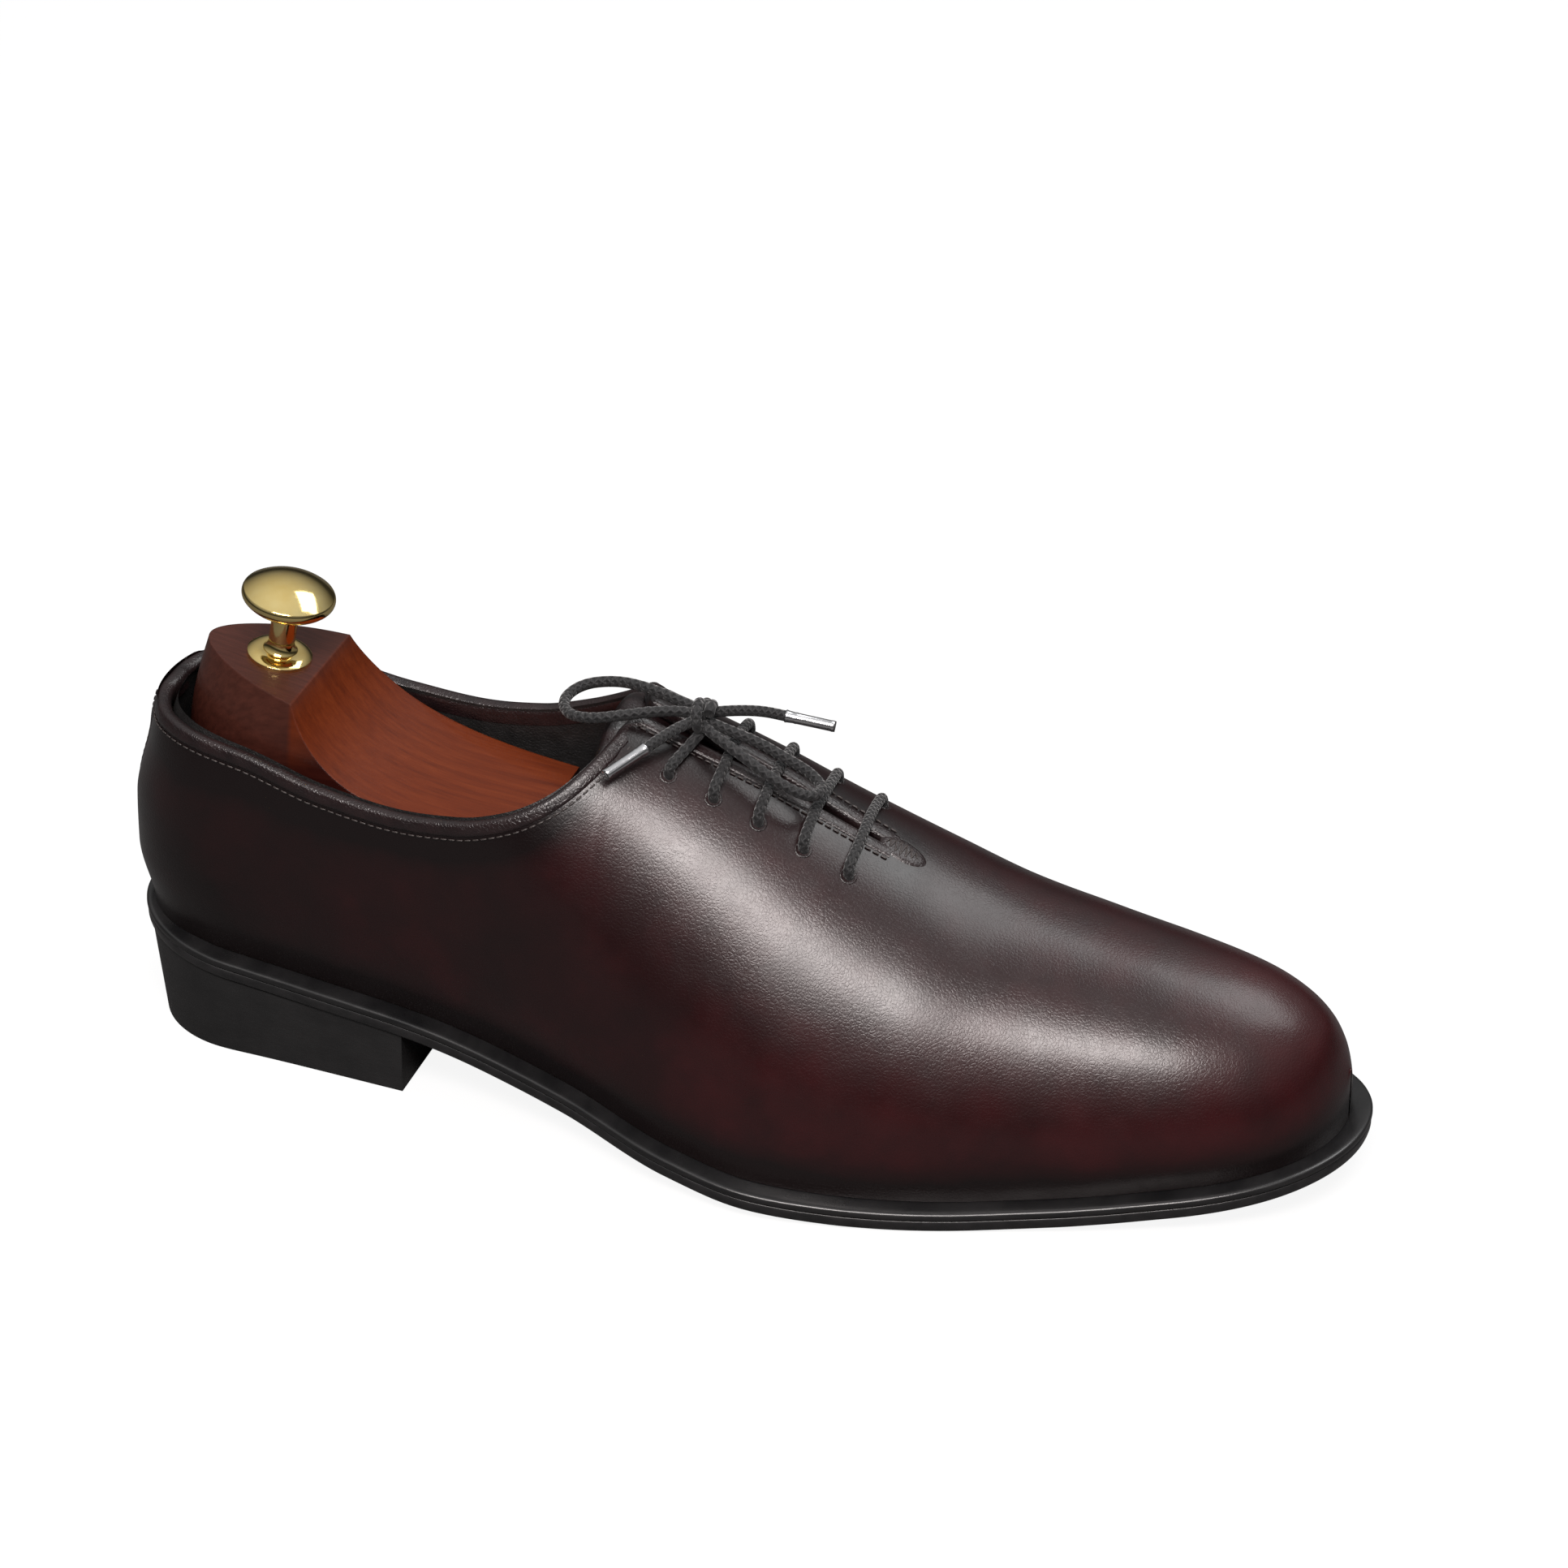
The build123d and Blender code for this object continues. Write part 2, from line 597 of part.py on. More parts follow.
def cord_tube(points, name, longest=FAR):
    """A round lace along straight runs joined by tangent arcs."""
    radii = corner_radii(points, longest)
    with BuildPart() as tube:
        with BuildLine() as path:
            FilletPolyline(*points, radius=radii)
        start = path.wires()[0]
        with BuildSketch(Plane(origin=start @ 0, z_dir=start % 0)):
            Circle(LACE_RADIUS)
        sweep(path=start)
    share = tube.part.volume / (pi * LACE_RADIUS**2 * start.length)
    print(f"{name}: length {start.length:.1f}, tightest {min(radii):.1f}, volume share {share:.3f}")
    return tube.part


LEFT, RIGHT = -1, 1
held_route = [at(143.0, -3.0, 95.6), over_leather(140.6, -8.6, OVER + 0.2)]
held_route += through_eyelet(0, LEFT) + list(reversed(through_eyelet(1, LEFT)))
held_route += lace_bar(1, LEFT)[2:]
held_route += [over_leather(EYELET_ROWS[2], EYELET_SIDE - 3.8, -UNDER - 0.6)]
held_route += lace_bar(3, RIGHT)
held_route += list(reversed(through_eyelet(4, LEFT))) + lace_bar(4, LEFT)[2:]
held_route += [over_leather(EYELET_ROWS[3], EYELET_SIDE + 3.8, -UNDER - 1.2)]
held_route += lace_bar(2, RIGHT)
held_route += [over_leather(EYELET_ROWS[1] + 1, 1.0, -UNDER + 0.2)]
held_route += list(reversed(through_eyelet(0, RIGHT)))
held_route += [over_leather(140.6, 7.4, OVER + 0.2), at(143.0, 1.2, 95.6)]

loop_back_route = [at(*p) for p in (
    (141, 0.8, 99.4), (134, 1.4, 101), (127, 2.6, 102), (119.5, 4, 101.5), (112, 2.2, 100.3),
    (109, -3.6, 98.8), (112.4, -9.4, 98.2), (119, -10.8, 99), (126.4, -8.2, 100), (133.6, -5.0, 100.6),
    (140.6, -2.4, 100.2))]
loop_front_route = [at(*p) for p in (
    (145, -1.4, 97.4), (151, -1.8, 96), (157.2, -1.2, 93.8), (163.4, -1.6, 91.2), (169, -1.8, 88.8),
    (173.6, -4.6, 86.6), (171.8, -9.2, 86.4), (166, -10, 88.6), (159.4, -8.8, 91.4), (152.4, -6.8, 94.4),
    (145.6, -4.4, 96.6))]
end_left_route = [at(*p) for p in (
    (141.2, -4, 98.6), (138.4, -8.6, 98.4), (136.2, -12.2, 97.6), (133.8, -15.6, 96.4))]
end_right_route = [at(*p) for p in ((145.6, 1.6, 99), (151, 2.4, 99.8), (156, 3.6, 99.8), (161, 4.4, 99))]
LACE_PIECES = {"lace_through_eyelets": held_route, "lace_loop_back": loop_back_route,
               "lace_loop_front": loop_front_route, "lace_end_left": end_left_route,
               "lace_end_right": end_right_route}

with BuildPart() as lace_knot:
    with Locations(at(*KNOT)):
        Sphere(KNOT_RADIUS)
finish(lace_knot.part, "lace_knot")

for name, route in LACE_PIECES.items():
    with BuildPart() as lace_piece:
        add(cord_tube(route, name, 2.3 if name == "lace_through_eyelets" else FAR))
        add(lace_knot.part, mode=Mode.SUBTRACT)
    with BuildPart() as longest_piece:
        add(sorted(lace_piece.part.solids(), key=lambda solid: solid.volume)[-1])
    finish(longest_piece.part, name)

AGLET = 12.0
for name, route in (("aglet_left", end_left_route), ("aglet_right", end_right_route)):
    along = (Vector(*route[-1]) - Vector(*route[-2])).normalized()
    with BuildPart() as aglet:
        with BuildSketch(Plane(origin=Vector(*route[-1]), z_dir=along)):
            Circle(LACE_RADIUS + 0.2)
        extrude(amount=AGLET)
    finish(aglet.part, name)

# ---- shoe tree --------------------------------------------------------------------------------------------
PIVOT_STATION, TREE_SIDE, TREE_HEIGHT = PIVOT
FORE_START, FORE_END = 200.0, 287.0
TUBE_START, TUBE_END = 121.0, 226.0
BORE_END = 250.0
BUSH_LENGTH = 9.0
BUSH_RADIUS = 7.5
RUNNING = 0.06
SPRING_RADIUS = 4.1
WIRE = 1.0


def along_tube(first, last, radius, inner=0.0):
    """A round bar or tube on the tree's axis between two stations."""
    with BuildPart() as bar:
        with BuildSketch(Plane(origin=at(first, TREE_SIDE, TREE_HEIGHT), x_dir=(0, 1, 0), z_dir=(1, 0, 0))):
            Circle(radius)
            if inner:
                Circle(inner, mode=Mode.SUBTRACT)
        extrude(amount=last - first)
    return bar.part


with BuildPart() as tree_fore_block:
    add(last_form(CAVITY_IN + 0.8, FLANGE_TOP, FORE_START, FORE_END))
    add(band(INSOLE_TOP + 0.5, 90), mode=Mode.INTERSECT)
    add(along_tube(FORE_START - 1, BORE_END, TUBE_RADIUS + 0.6), mode=Mode.SUBTRACT)
    add(along_tube(FORE_START - 1, FORE_START + BUSH_LENGTH, BUSH_RADIUS), mode=Mode.SUBTRACT)
finish(tree_fore_block.part, "tree_fore_block")

with BuildPart() as tree_bush:
    add(along_tube(FORE_START, FORE_START + BUSH_LENGTH, BUSH_RADIUS, TUBE_RADIUS + RUNNING))
    add(along_tube(FORE_START - 1.5, FORE_START, BUSH_RADIUS + 2, TUBE_RADIUS + RUNNING))
finish(tree_bush.part, "tree_bush")

with BuildPart() as tree_tube:
    add(along_tube(TUBE_START, TUBE_END, TUBE_RADIUS, TUBE_RADIUS - 1.1))
finish(tree_tube.part, "tree_tube")

with BuildPart() as tree_spring:
    with BuildLine() as coil:
        Helix(pitch=3.9, height=BORE_END - TUBE_END - 1.6, radius=SPRING_RADIUS,
              center=at(TUBE_END + 0.8, TREE_SIDE, TREE_HEIGHT), direction=(1, 0, 0))
    turns = coil.wires()[0]
    with BuildSketch(Plane(origin=turns @ 0, z_dir=turns % 0)):
        Circle(WIRE / 2)
    sweep(path=turns, is_frenet=True)
finish(tree_spring.part, "tree_spring")

CHEEK_RADIUS = 5.0
CHEEK = 2.6
TANG = 3.2
PIN_RADIUS = 2.0


def hinge_plate(first, last, side_low, side_high):
    """An upright plate with a round end at the pivot, reaching to a station on the other side."""
    round_end = Plane(origin=at(PIVOT_STATION, TREE_SIDE + side_high, TREE_HEIGHT), z_dir=(0, -1, 0))
    with BuildPart() as plate:
        with BuildSketch(round_end):
            Circle(CHEEK_RADIUS)
        extrude(amount=side_high - side_low)
        with Locations(at((first + last) / 2, TREE_SIDE + (side_low + side_high) / 2, TREE_HEIGHT)):
            Box(last - first, side_high - side_low, 2 * CHEEK_RADIUS)
    return plate.part


def pivot_bar(radius, length):
    """A round bar across the shoe at the pivot."""
    with BuildPart() as bar:
        with Locations(at(*PIVOT)):
            Cylinder(radius, length, rotation=(90, 0, 0))
    return bar.part


gap = TANG / 2 + 0.1
with BuildPart() as tree_hinge_fork:
    for low, high in ((gap, gap + CHEEK), (-gap - CHEEK, -gap)):
        add(hinge_plate(PIVOT_STATION, TUBE_START - 3, low, high))
    with Locations(at(TUBE_START - 1.5, TREE_SIDE, TREE_HEIGHT)):
        Box(3, 2 * (gap + CHEEK), 2 * CHEEK_RADIUS)
    add(along_tube(TUBE_START - 1, TUBE_START + 14, TUBE_RADIUS - 1.12))
    add(pivot_bar(PIN_RADIUS, 40), mode=Mode.SUBTRACT)
finish(tree_hinge_fork.part, "tree_hinge_fork")

with BuildPart() as tree_hinge_pin:
    add(pivot_bar(PIN_RADIUS, 2 * (gap + CHEEK)))
    for end in (-1, 1):
        with Locations(at(PIVOT_STATION, TREE_SIDE + end * (gap + CHEEK + 0.5), TREE_HEIGHT)):
            Cylinder(PIN_RADIUS + 1.2, 1.0, rotation=(90, 0, 0))
finish(tree_hinge_pin.part, "tree_hinge_pin")

ARM_END = 104.5
TANG_START = 84.0
SCREW_STATIONS = (89.0, 98.0)
with BuildPart() as tang_screws:
    for station in SCREW_STATIONS:
        with Locations(at(station, TREE_SIDE, TREE_HEIGHT)):
            Cylinder(1.5, 20, rotation=(90, 0, 0))
finish(tang_screws.part, "tang_screws")

with BuildPart() as tree_hinge_tang:
    add(hinge_plate(TANG_START, PIVOT_STATION, -TANG / 2, TANG / 2))
    add(pivot_bar(PIN_RADIUS + RUNNING, 40), mode=Mode.SUBTRACT)
    add(tang_screws.part, mode=Mode.SUBTRACT)
finish(tree_hinge_tang.part, "tree_hinge_tang")

# Heel block outlines: height, back station, then half widths at stations 30, 50, 75 and the arm's end
BLOCK_LEVELS = [(36, 17.0, 12.0, 16.5, 17.0, 14.5), (44, 13.4, 18.0, 21.0, 20.5, 17.5),
                (60, 12.2, 19.3, 22.6, 22.0, 18.5), (76, 12.8, 18.2, 22.4, 22.2, 19.0),
                (88, 15.0, 15.4, 20.4, 22.0, 19.0), (102, 19.4, 10.8, 17.2, 21.0, 18.0)]
FACET_BACK, FACET_FRONT = (25.0, 98.5), (46.7, 94.2)
SCOOP = [FACET_FRONT, (52.0, 84.8), (60.0, 77.6), (72.0, 72.2), (88.0, 69.0), (ARM_END + 2, 67.4)]
facet_slope = (FACET_FRONT[1] - FACET_BACK[1]) / (FACET_FRONT[0] - FACET_BACK[0])

with BuildPart() as tree_heel_block:
    for height, back, w30, w50, w75, w_end in BLOCK_LEVELS:
        left = [(ARM_END, -w_end), (75, -w75), (50, -w50), (30, -w30)]
        mirrored = [(s, -y) for s, y in reversed(left)]
        with BuildSketch(Plane.XY.offset(height)):
            with BuildLine():
                arch = Spline(*[at(s, y, 0)[:2] for s, y in left + [(back, 0)] + mirrored])
                Line(arch @ 1, arch @ 0)
            make_face()
    loft()
    with BuildSketch(Plane.XZ):
        with BuildLine():
            hollow = Spline(*[(s + ROW_X, z) for s, z in SCOOP])
            back_top = (FACET_FRONT[0] - 60 + ROW_X, FACET_FRONT[1] - 60 * facet_slope)
            Polyline(hollow @ 1, (FAR, (hollow @ 1).Y), (FAR, FAR), (back_top[0], FAR), back_top, hollow @ 0)
        make_face()
    extrude(amount=FAR, both=True, mode=Mode.SUBTRACT)
    add(hinge_plate(TANG_START - 0.05, PIVOT_STATION, -TANG / 2 - 0.05, TANG / 2 + 0.05), mode=Mode.SUBTRACT)
    add(tang_screws.part, mode=Mode.SUBTRACT)

KNOB_STATION = 36.2
knob_seat = FACET_BACK[1] + (KNOB_STATION - FACET_BACK[0]) * facet_slope
knob_axis = Vector(-facet_slope, 0, 1).normalized()
knob_plane = Plane(origin=at(KNOB_STATION, 0, knob_seat), x_dir=Vector(1, 0, facet_slope), z_dir=knob_axis)
ROSE_RADIUS, STEM_RADIUS, CAP_RADIUS = 7.8, 3.2, 11.2
STUD_RADIUS, STUD_DEPTH = 2.4, 26.0
profile_plane = Plane(origin=knob_plane.origin, x_dir=knob_plane.x_dir, z_dir=-Vector(0, 1, 0))

with BuildPart() as knob_stud:
    with BuildSketch(knob_plane.offset(-STUD_DEPTH)):
        Circle(STUD_RADIUS)
    extrude(amount=STUD_DEPTH + 7)
with BuildPart() as block_with_stud_hole:
    add(tree_heel_block.part)
    add(knob_stud.part, mode=Mode.SUBTRACT)
finish(block_with_stud_hole.part, "tree_heel_block")
finish(knob_stud.part, "knob_stud")

with BuildPart() as knob_rose:
    with BuildSketch(profile_plane):
        with BuildLine():
            Polyline((STUD_RADIUS, 0), (ROSE_RADIUS, 0), (ROSE_RADIUS, 0.9))
            ThreePointArc((ROSE_RADIUS, 0.9), (6.4, 1.7), (4.6, 2.0))
            Polyline((4.6, 2.0), (STUD_RADIUS, 2.0), (STUD_RADIUS, 0))
        make_face()
    revolve(axis=Axis(knob_plane.origin, knob_axis))
finish(knob_rose.part, "knob_rose")

DOME_TOP, DOME_RIM, DOME_EDGE = 21.8, 18.1, 10.8
dome_radius = (DOME_EDGE**2 + (DOME_TOP - DOME_RIM) ** 2) / (2 * (DOME_TOP - DOME_RIM))
dome_half = DOME_TOP - dome_radius + sqrt(dome_radius**2 - (DOME_EDGE / 2) ** 2)
with BuildPart() as tree_knob:
    with BuildSketch(profile_plane):
        with BuildLine():
            Polyline((0, 7), (STUD_RADIUS, 7), (STUD_RADIUS, 2.0), (4.2, 2.0))
            ThreePointArc((4.2, 2.0), (3.3, 3.4), (STEM_RADIUS, 5.0))
            Line((STEM_RADIUS, 5.0), (STEM_RADIUS, 11.0))
            ThreePointArc((STEM_RADIUS, 11.0), (3.7, 12.4), (4.8, 13.0))
            ThreePointArc((4.8, 13.0), (8.3, 13.9), (10.7, 15.7))
            ThreePointArc((10.7, 15.7), (CAP_RADIUS, 16.9), (DOME_EDGE, DOME_RIM))
            ThreePointArc((DOME_EDGE, DOME_RIM), (DOME_EDGE / 2, dome_half), (0, DOME_TOP))
            Line((0, DOME_TOP), (0, 7))
        make_face()
    revolve(axis=Axis(knob_plane.origin, knob_axis))
finish(tree_knob.part, "tree_knob")
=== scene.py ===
"""Looks of the laced oxford on its shoe tree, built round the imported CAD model.

Shapes are worked out on the shoe's own station line, in millimetres: a station is the distance from the
back of the heel, a side distance is from the heel's centre line with the outer side negative, and row_point
turns them into the model's frame in metres.
"""
import math
import bmesh
import bpy
import numpy as np
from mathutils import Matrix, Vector


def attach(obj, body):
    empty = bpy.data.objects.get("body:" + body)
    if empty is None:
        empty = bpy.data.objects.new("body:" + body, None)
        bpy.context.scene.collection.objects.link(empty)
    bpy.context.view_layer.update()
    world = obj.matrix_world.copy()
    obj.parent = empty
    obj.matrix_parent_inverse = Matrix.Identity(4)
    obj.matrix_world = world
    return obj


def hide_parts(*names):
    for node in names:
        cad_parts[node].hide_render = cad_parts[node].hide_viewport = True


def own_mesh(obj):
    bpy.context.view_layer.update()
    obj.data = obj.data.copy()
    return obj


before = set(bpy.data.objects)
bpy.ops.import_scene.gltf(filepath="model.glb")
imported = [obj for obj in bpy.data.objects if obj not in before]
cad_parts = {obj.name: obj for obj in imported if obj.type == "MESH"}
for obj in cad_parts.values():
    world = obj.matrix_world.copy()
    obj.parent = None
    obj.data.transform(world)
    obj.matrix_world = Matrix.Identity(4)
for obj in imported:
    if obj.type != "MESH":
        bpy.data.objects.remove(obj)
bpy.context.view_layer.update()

# -- the last, as in the CAD --
LENGTH = 303.0
LEDGE, HEEL_LEDGE = 5.5, 3.0
UPPER_BACK, UPPER_TOE = HEEL_LEDGE, LENGTH - LEDGE
CAVITY_IN = 3.3
LACE = 2.6
EYELET_ROWS = [138.5 + 10.9 * k for k in range(5)]
EYELET_SIDE = 13.5
SLIT_START, SLIT_END = 119.0, 190.0
SOLE_LATERAL = [
    (0, 27.5), (30, 28.3), (60, 31.0), (90, 34.3), (120, 41.3), (150, 52.8), (172, 56.8), (190, 55.3),
    (215, 51.0), (240, 45.6), (265, 41.0), (303, 39.7)]
SOLE_MEDIAL = [
    (0, 27.5), (30, 28.0), (60, 27.3), (90, 24.0), (112, 22.8), (135, 26.0), (155, 32.0), (175, 38.0),
    (195, 41.5), (215, 42.0), (240, 39.5), (265, 36.5), (303, 35.5)]
TOE_SWING = [(0, 0.0), (160, 0.0), (200, 1.8), (240, 5.2), (275, 7.6), (303, 8.0)]
SEAT_LINE = [
    (0, 30.6), (30, 25.6), (78, 21.0), (108, 16.2), (140, 11.0), (170, 7.2), (195, 5.3), (210, 5.0),
    (232, 5.8), (262, 8.6), (285, 11.6), (303, 14.5)]
RIDGE = [
    (3, 60), (5, 77), (8, 88), (14, 99), (24, 107), (40, 111), (70, 111), (100, 108), (118, 102.5),
    (128, 98.5), (138, 94.5), (158, 86.5), (178, 77), (198, 68), (217, 60.5), (237, 55.5), (257, 51.5),
    (276, 47), (285, 43.3), (291, 39), (295, 33.5), (297.5, 27)]
RIDGE_SIDE = [(3, 0), (100, 0), (140, 4.0), (190, 5.5), (230, 3.5), (270, 0.5), (303, 0)]
WALL_LATERAL = [
    (3, 27.5), (30, 28.5), (60, 31.0), (90, 34.0), (120, 40.5), (150, 47.0), (175, 50.0), (200, 49.0),
    (230, 43.5), (260, 38.0), (303, 35.0)]
WALL_MEDIAL = [
    (3, 27.0), (30, 28.0), (60, 29.0), (90, 28.5), (120, 31.5), (150, 35.5), (175, 39.5), (200, 41.0),
    (230, 39.5), (260, 35.0), (303, 32.0)]
TOP_LATERAL = [
    (3, 27.0), (30, 28.5), (60, 31.5), (90, 35.0), (120, 41.0), (150, 45.0), (200, 48.0), (230, 43.5),
    (260, 38.0), (303, 33.0)]
TOP_MEDIAL = [
    (3, 26.5), (30, 28.0), (60, 30.5), (90, 33.0), (120, 37.0), (150, 40.0), (200, 41.0), (230, 38.0),
    (260, 33.0), (303, 29.0)]
FULLNESS = [(3, 5.0), (90, 4.5), (118, 3.2), (140, 2.4), (170, 2.2), (230, 2.3), (303, 2.5)]
TOPLINE = [
    (0, 86.5), (12, 86.5), (36, 83.8), (58, 78.6), (78, 76.6), (92, 77.8), (104, 81.2), (114, 86.0),
    (121, 91.5), (127, 98.0), (132, 106.0)]
WALL_LEVEL = 0.35
HEEL_ROUND, TOE_ROUND = 28.0, 48.0


def blend(table, at):
    """Smooth value between the table's pairs, with no overshoot, for a number or an array."""
    xs = np.array([pair[0] for pair in table], float)
    ys = np.array([pair[1] for pair in table], float)
    slopes = np.diff(ys) / np.diff(xs)
    product = slopes[:-1] * slopes[1:]
    total = np.where(product > 0, slopes[:-1] + slopes[1:], 1.0)
    middle = np.where(product > 0, 2 * product / total, 0.0)
    knots = np.concatenate([slopes[:1], middle, slopes[-1:]])
    at = np.clip(np.asarray(at, float), xs[0], xs[-1])
    i = np.clip(np.searchsorted(xs, at, side="right") - 1, 0, len(xs) - 2)
    span = xs[i + 1] - xs[i]
    u = (at - xs[i]) / span
    start = ys[i] * (1 + 2 * u) * (1 - u) ** 2 + knots[i] * span * u * (1 - u) ** 2
    return start + ys[i + 1] * u * u * (3 - 2 * u) + knots[i + 1] * span * u * u * (u - 1)


def smoothstep(low, high, value):
    """Smooth rise from nought at low to one at high."""
    u = np.clip((np.asarray(value, float) - low) / (high - low), 0, 1)
    return u * u * (3 - 2 * u)


def rounding(along, length, power):
    """Share of the full width at a distance into a rounded end of this length."""
    q = 1 - np.clip(np.asarray(along, float) / length, 0, 1)
    return (1 - q**power) ** (1 / power)


def sole_side(station, side):
    """Side distance of the sole's edge."""
    table = SOLE_MEDIAL if side > 0 else SOLE_LATERAL
    ends = rounding(station, HEEL_ROUND + 3, 2.1) * rounding(LENGTH - station, TOE_ROUND + 4, 2.05)
    return blend(TOE_SWING, station) + side * blend(table, station) * ends


def widest(side):
    """Largest side distance of the sole on one side."""
    return max(side * float(sole_side(s, side)) for s in range(1, int(LENGTH)))


ROW_X = -LENGTH / 2
ROW_Y = (widest(-1) - widest(1)) / 2


def row_point(station, side, height):
    """Model-frame metres of a station, side distance and height."""
    return ((station + ROW_X) / 1000, (side + ROW_Y) / 1000, height / 1000)


def row_array(points):
    """The same for an array of points in its last axis."""
    return (np.asarray(points, float) + np.array([ROW_X, ROW_Y, 0])) / 1000


def seat(station):
    """Height of the top of the sole."""
    return blend(SEAT_LINE, station)


def bulge(station, height):
    """How far the heel's back stands out behind the CAD's plain last, along the station line."""
    rise = smoothstep(31, 47, height) * (1 - smoothstep(60, 78, height))
    fade = np.clip(1 - (station - 2.4) / 34, 0, 1) ** 2
    return -3.0 * rise * fade


def section(station, inset=0.0, count=240):
    """Fine polyline over the last at one station: sides, heights, lateral foot first."""
    shrink = (UPPER_TOE - UPPER_BACK) / (UPPER_TOE - UPPER_BACK - 2 * inset)
    mapped = UPPER_BACK + (station - UPPER_BACK - inset) * shrink
    low = float(seat(station)) + 0.12 + inset
    high = float(blend(RIDGE, mapped)) - inset
    middle = float(blend(TOE_SWING, station))
    crown = middle + float(blend(RIDGE_SIDE, station))
    level = 1 - (1 - np.linspace(0, 1, count)) ** 2
    ends = rounding(mapped - UPPER_BACK + 0.6, HEEL_ROUND, 2.2)
    ends = ends * rounding(UPPER_TOE + 0.4 - mapped, TOE_ROUND, 2.1)
    lean = middle + (crown - middle) * level**2
    height = low + (high - low) * level
    sides = []
    for side, foot, wall, top in ((-1, SOLE_LATERAL, WALL_LATERAL, TOP_LATERAL),
                                  (1, SOLE_MEDIAL, WALL_MEDIAL, TOP_MEDIAL)):
        ledge = LEDGE if mapped > 20 else HEEL_LEDGE + (LEDGE - HEEL_LEDGE) * mapped / 20
        low_width = float(blend(foot, mapped)) - ledge
        wall_width = float(blend(wall, mapped))
        top_width = float(blend(top, mapped))
        under = low_width + (wall_width - low_width) * np.sin(np.pi / 2 * level / WALL_LEVEL)
        turn = np.clip((level - WALL_LEVEL) / (1 - WALL_LEVEL), 0, 1)
        over = wall_width + (top_width - wall_width) * (1 - np.cos(np.pi * turn)) / 2
        body = np.where(level < WALL_LEVEL, under, over)
        fullness = float(blend(FULLNESS, mapped))
        sides.append(lean + side * ends * (body - inset) * np.sqrt(np.clip(1 - level**fullness, 0, 1)))
    side_line = np.concatenate([sides[0], sides[1][::-1][1:]])
    height_line = np.concatenate([height, height[::-1][1:]])
    return side_line, height_line


def skin_height(station, side):
    """Height of the last's upper side over one station and side distance."""
    sides, heights = section(station, 0.0, 400)
    upper = heights > heights[0] + (heights.max() - heights[0]) * WALL_LEVEL
    return float(np.interp(side, sides[upper], heights[upper]))


def slit_half(station):
    """Half width of the slit between the facings, or nothing away from it."""
    if station < SLIT_START or station > SLIT_END:
        return 0.0
    return 3.4 + (0.8 - 3.4) * (station - SLIT_START) / (SLIT_END - SLIT_START)


def split_side(station):
    """Side distance of the line where the lateral and medial halves of the upper meet."""
    crown = float(blend(TOE_SWING, station)) + float(blend(RIDGE_SIDE, station))
    return crown * float(smoothstep(190, 250, station))


def half_strips(station, inset, rows):
    """The upper's two halves at one station: evenly spaced points from the foot to the open edge."""
    sides, heights = section(station, inset)
    top = float(blend(TOPLINE, station))
    half = slit_half(station)
    middle = split_side(station)
    upper = heights > heights[0] + (heights.max() - heights[0]) * 0.5
    result = []
    for direction in (-1, 1):
        ys, zs, high = sides[::-direction], heights[::-direction], upper[::-direction]
        beyond = (zs >= top) | (high & (direction * (ys - middle) <= half))
        last = int(np.argmax(beyond)) if beyond.any() else len(ys) // 2
        last = max(last, 2)
        share = 1.0
        if zs[last] >= top and zs[last] > zs[last - 1] + 1e-9:
            share = (top - zs[last - 1]) / (zs[last] - zs[last - 1])
        side_limit = middle + direction * half
        if high[last] and abs(ys[last] - ys[last - 1]) > 1e-9:
            side_share = (side_limit - ys[last - 1]) / (ys[last] - ys[last - 1])
            share = min(share, max(side_share, 0.0)) if zs[last] >= top else max(side_share, 0.0)
        share = min(max(share, 0.0), 1.0)
        y = np.append(ys[:last], ys[last - 1] + share * (ys[last] - ys[last - 1]))
        z = np.append(zs[:last], zs[last - 1] + share * (zs[last] - zs[last - 1]))
        run = np.concatenate([[0], np.cumsum(np.hypot(np.diff(y), np.diff(z)))])
        even = np.linspace(0, run[-1], rows)
        result.append((np.interp(even, run, y), np.interp(even, run, z), run[-1]))
    return result


def upper_grids(inset, columns, rows):
    """Grids of points over the lateral and medial halves, and each point's distances to foot and edge."""
    first = UPPER_BACK + inset - 0.59
    last = UPPER_TOE - inset + 0.39
    turn = np.linspace(0, np.pi, columns)
    stations = first + (last - first) * (0.12 * turn / np.pi + 0.88 * (1 - np.cos(turn)) / 2)
    grids = [np.zeros((columns, rows, 3)), np.zeros((columns, rows, 3))]
    lengths = np.zeros((2, columns))
    for i, station in enumerate(stations):
        for h, (y, z, length) in enumerate(half_strips(station, inset, rows)):
            grids[h][i] = np.stack([station + bulge(station, z), y, z], axis=1)
            lengths[h, i] = length
    return stations, grids, lengths


# -- making pieces --
def put(name, data):
    """A new object in the scene."""
    thing = bpy.data.objects.new(name, data)
    bpy.context.scene.collection.objects.link(thing)
    return thing


def new_piece(name, vertices, faces, material, body="shoe"):
    """A mesh piece that rides on a body; vertices are in model-frame metres."""
    mesh = bpy.data.meshes.new(name)
    mesh.from_pydata([tuple(v) for v in vertices], [], [tuple(f) for f in faces])
    mesh.validate()
    mesh.update()
    mesh.shade_smooth()
    mesh.materials.append(material)
    piece = put(name, mesh)
    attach(piece, body)
    return piece


def grid_faces(columns, rows, offset=0, flip=False, closed=False):
    """Quads over a grid of points stored column by column."""
    faces = []
    for i in range(columns if closed else columns - 1):
        for j in range(rows - 1):
            a = offset + i * rows + j
            b = offset + ((i + 1) % columns) * rows + j
            quad = (a, b, b + 1, a + 1)
            faces.append(quad[::-1] if flip else quad)
    return faces


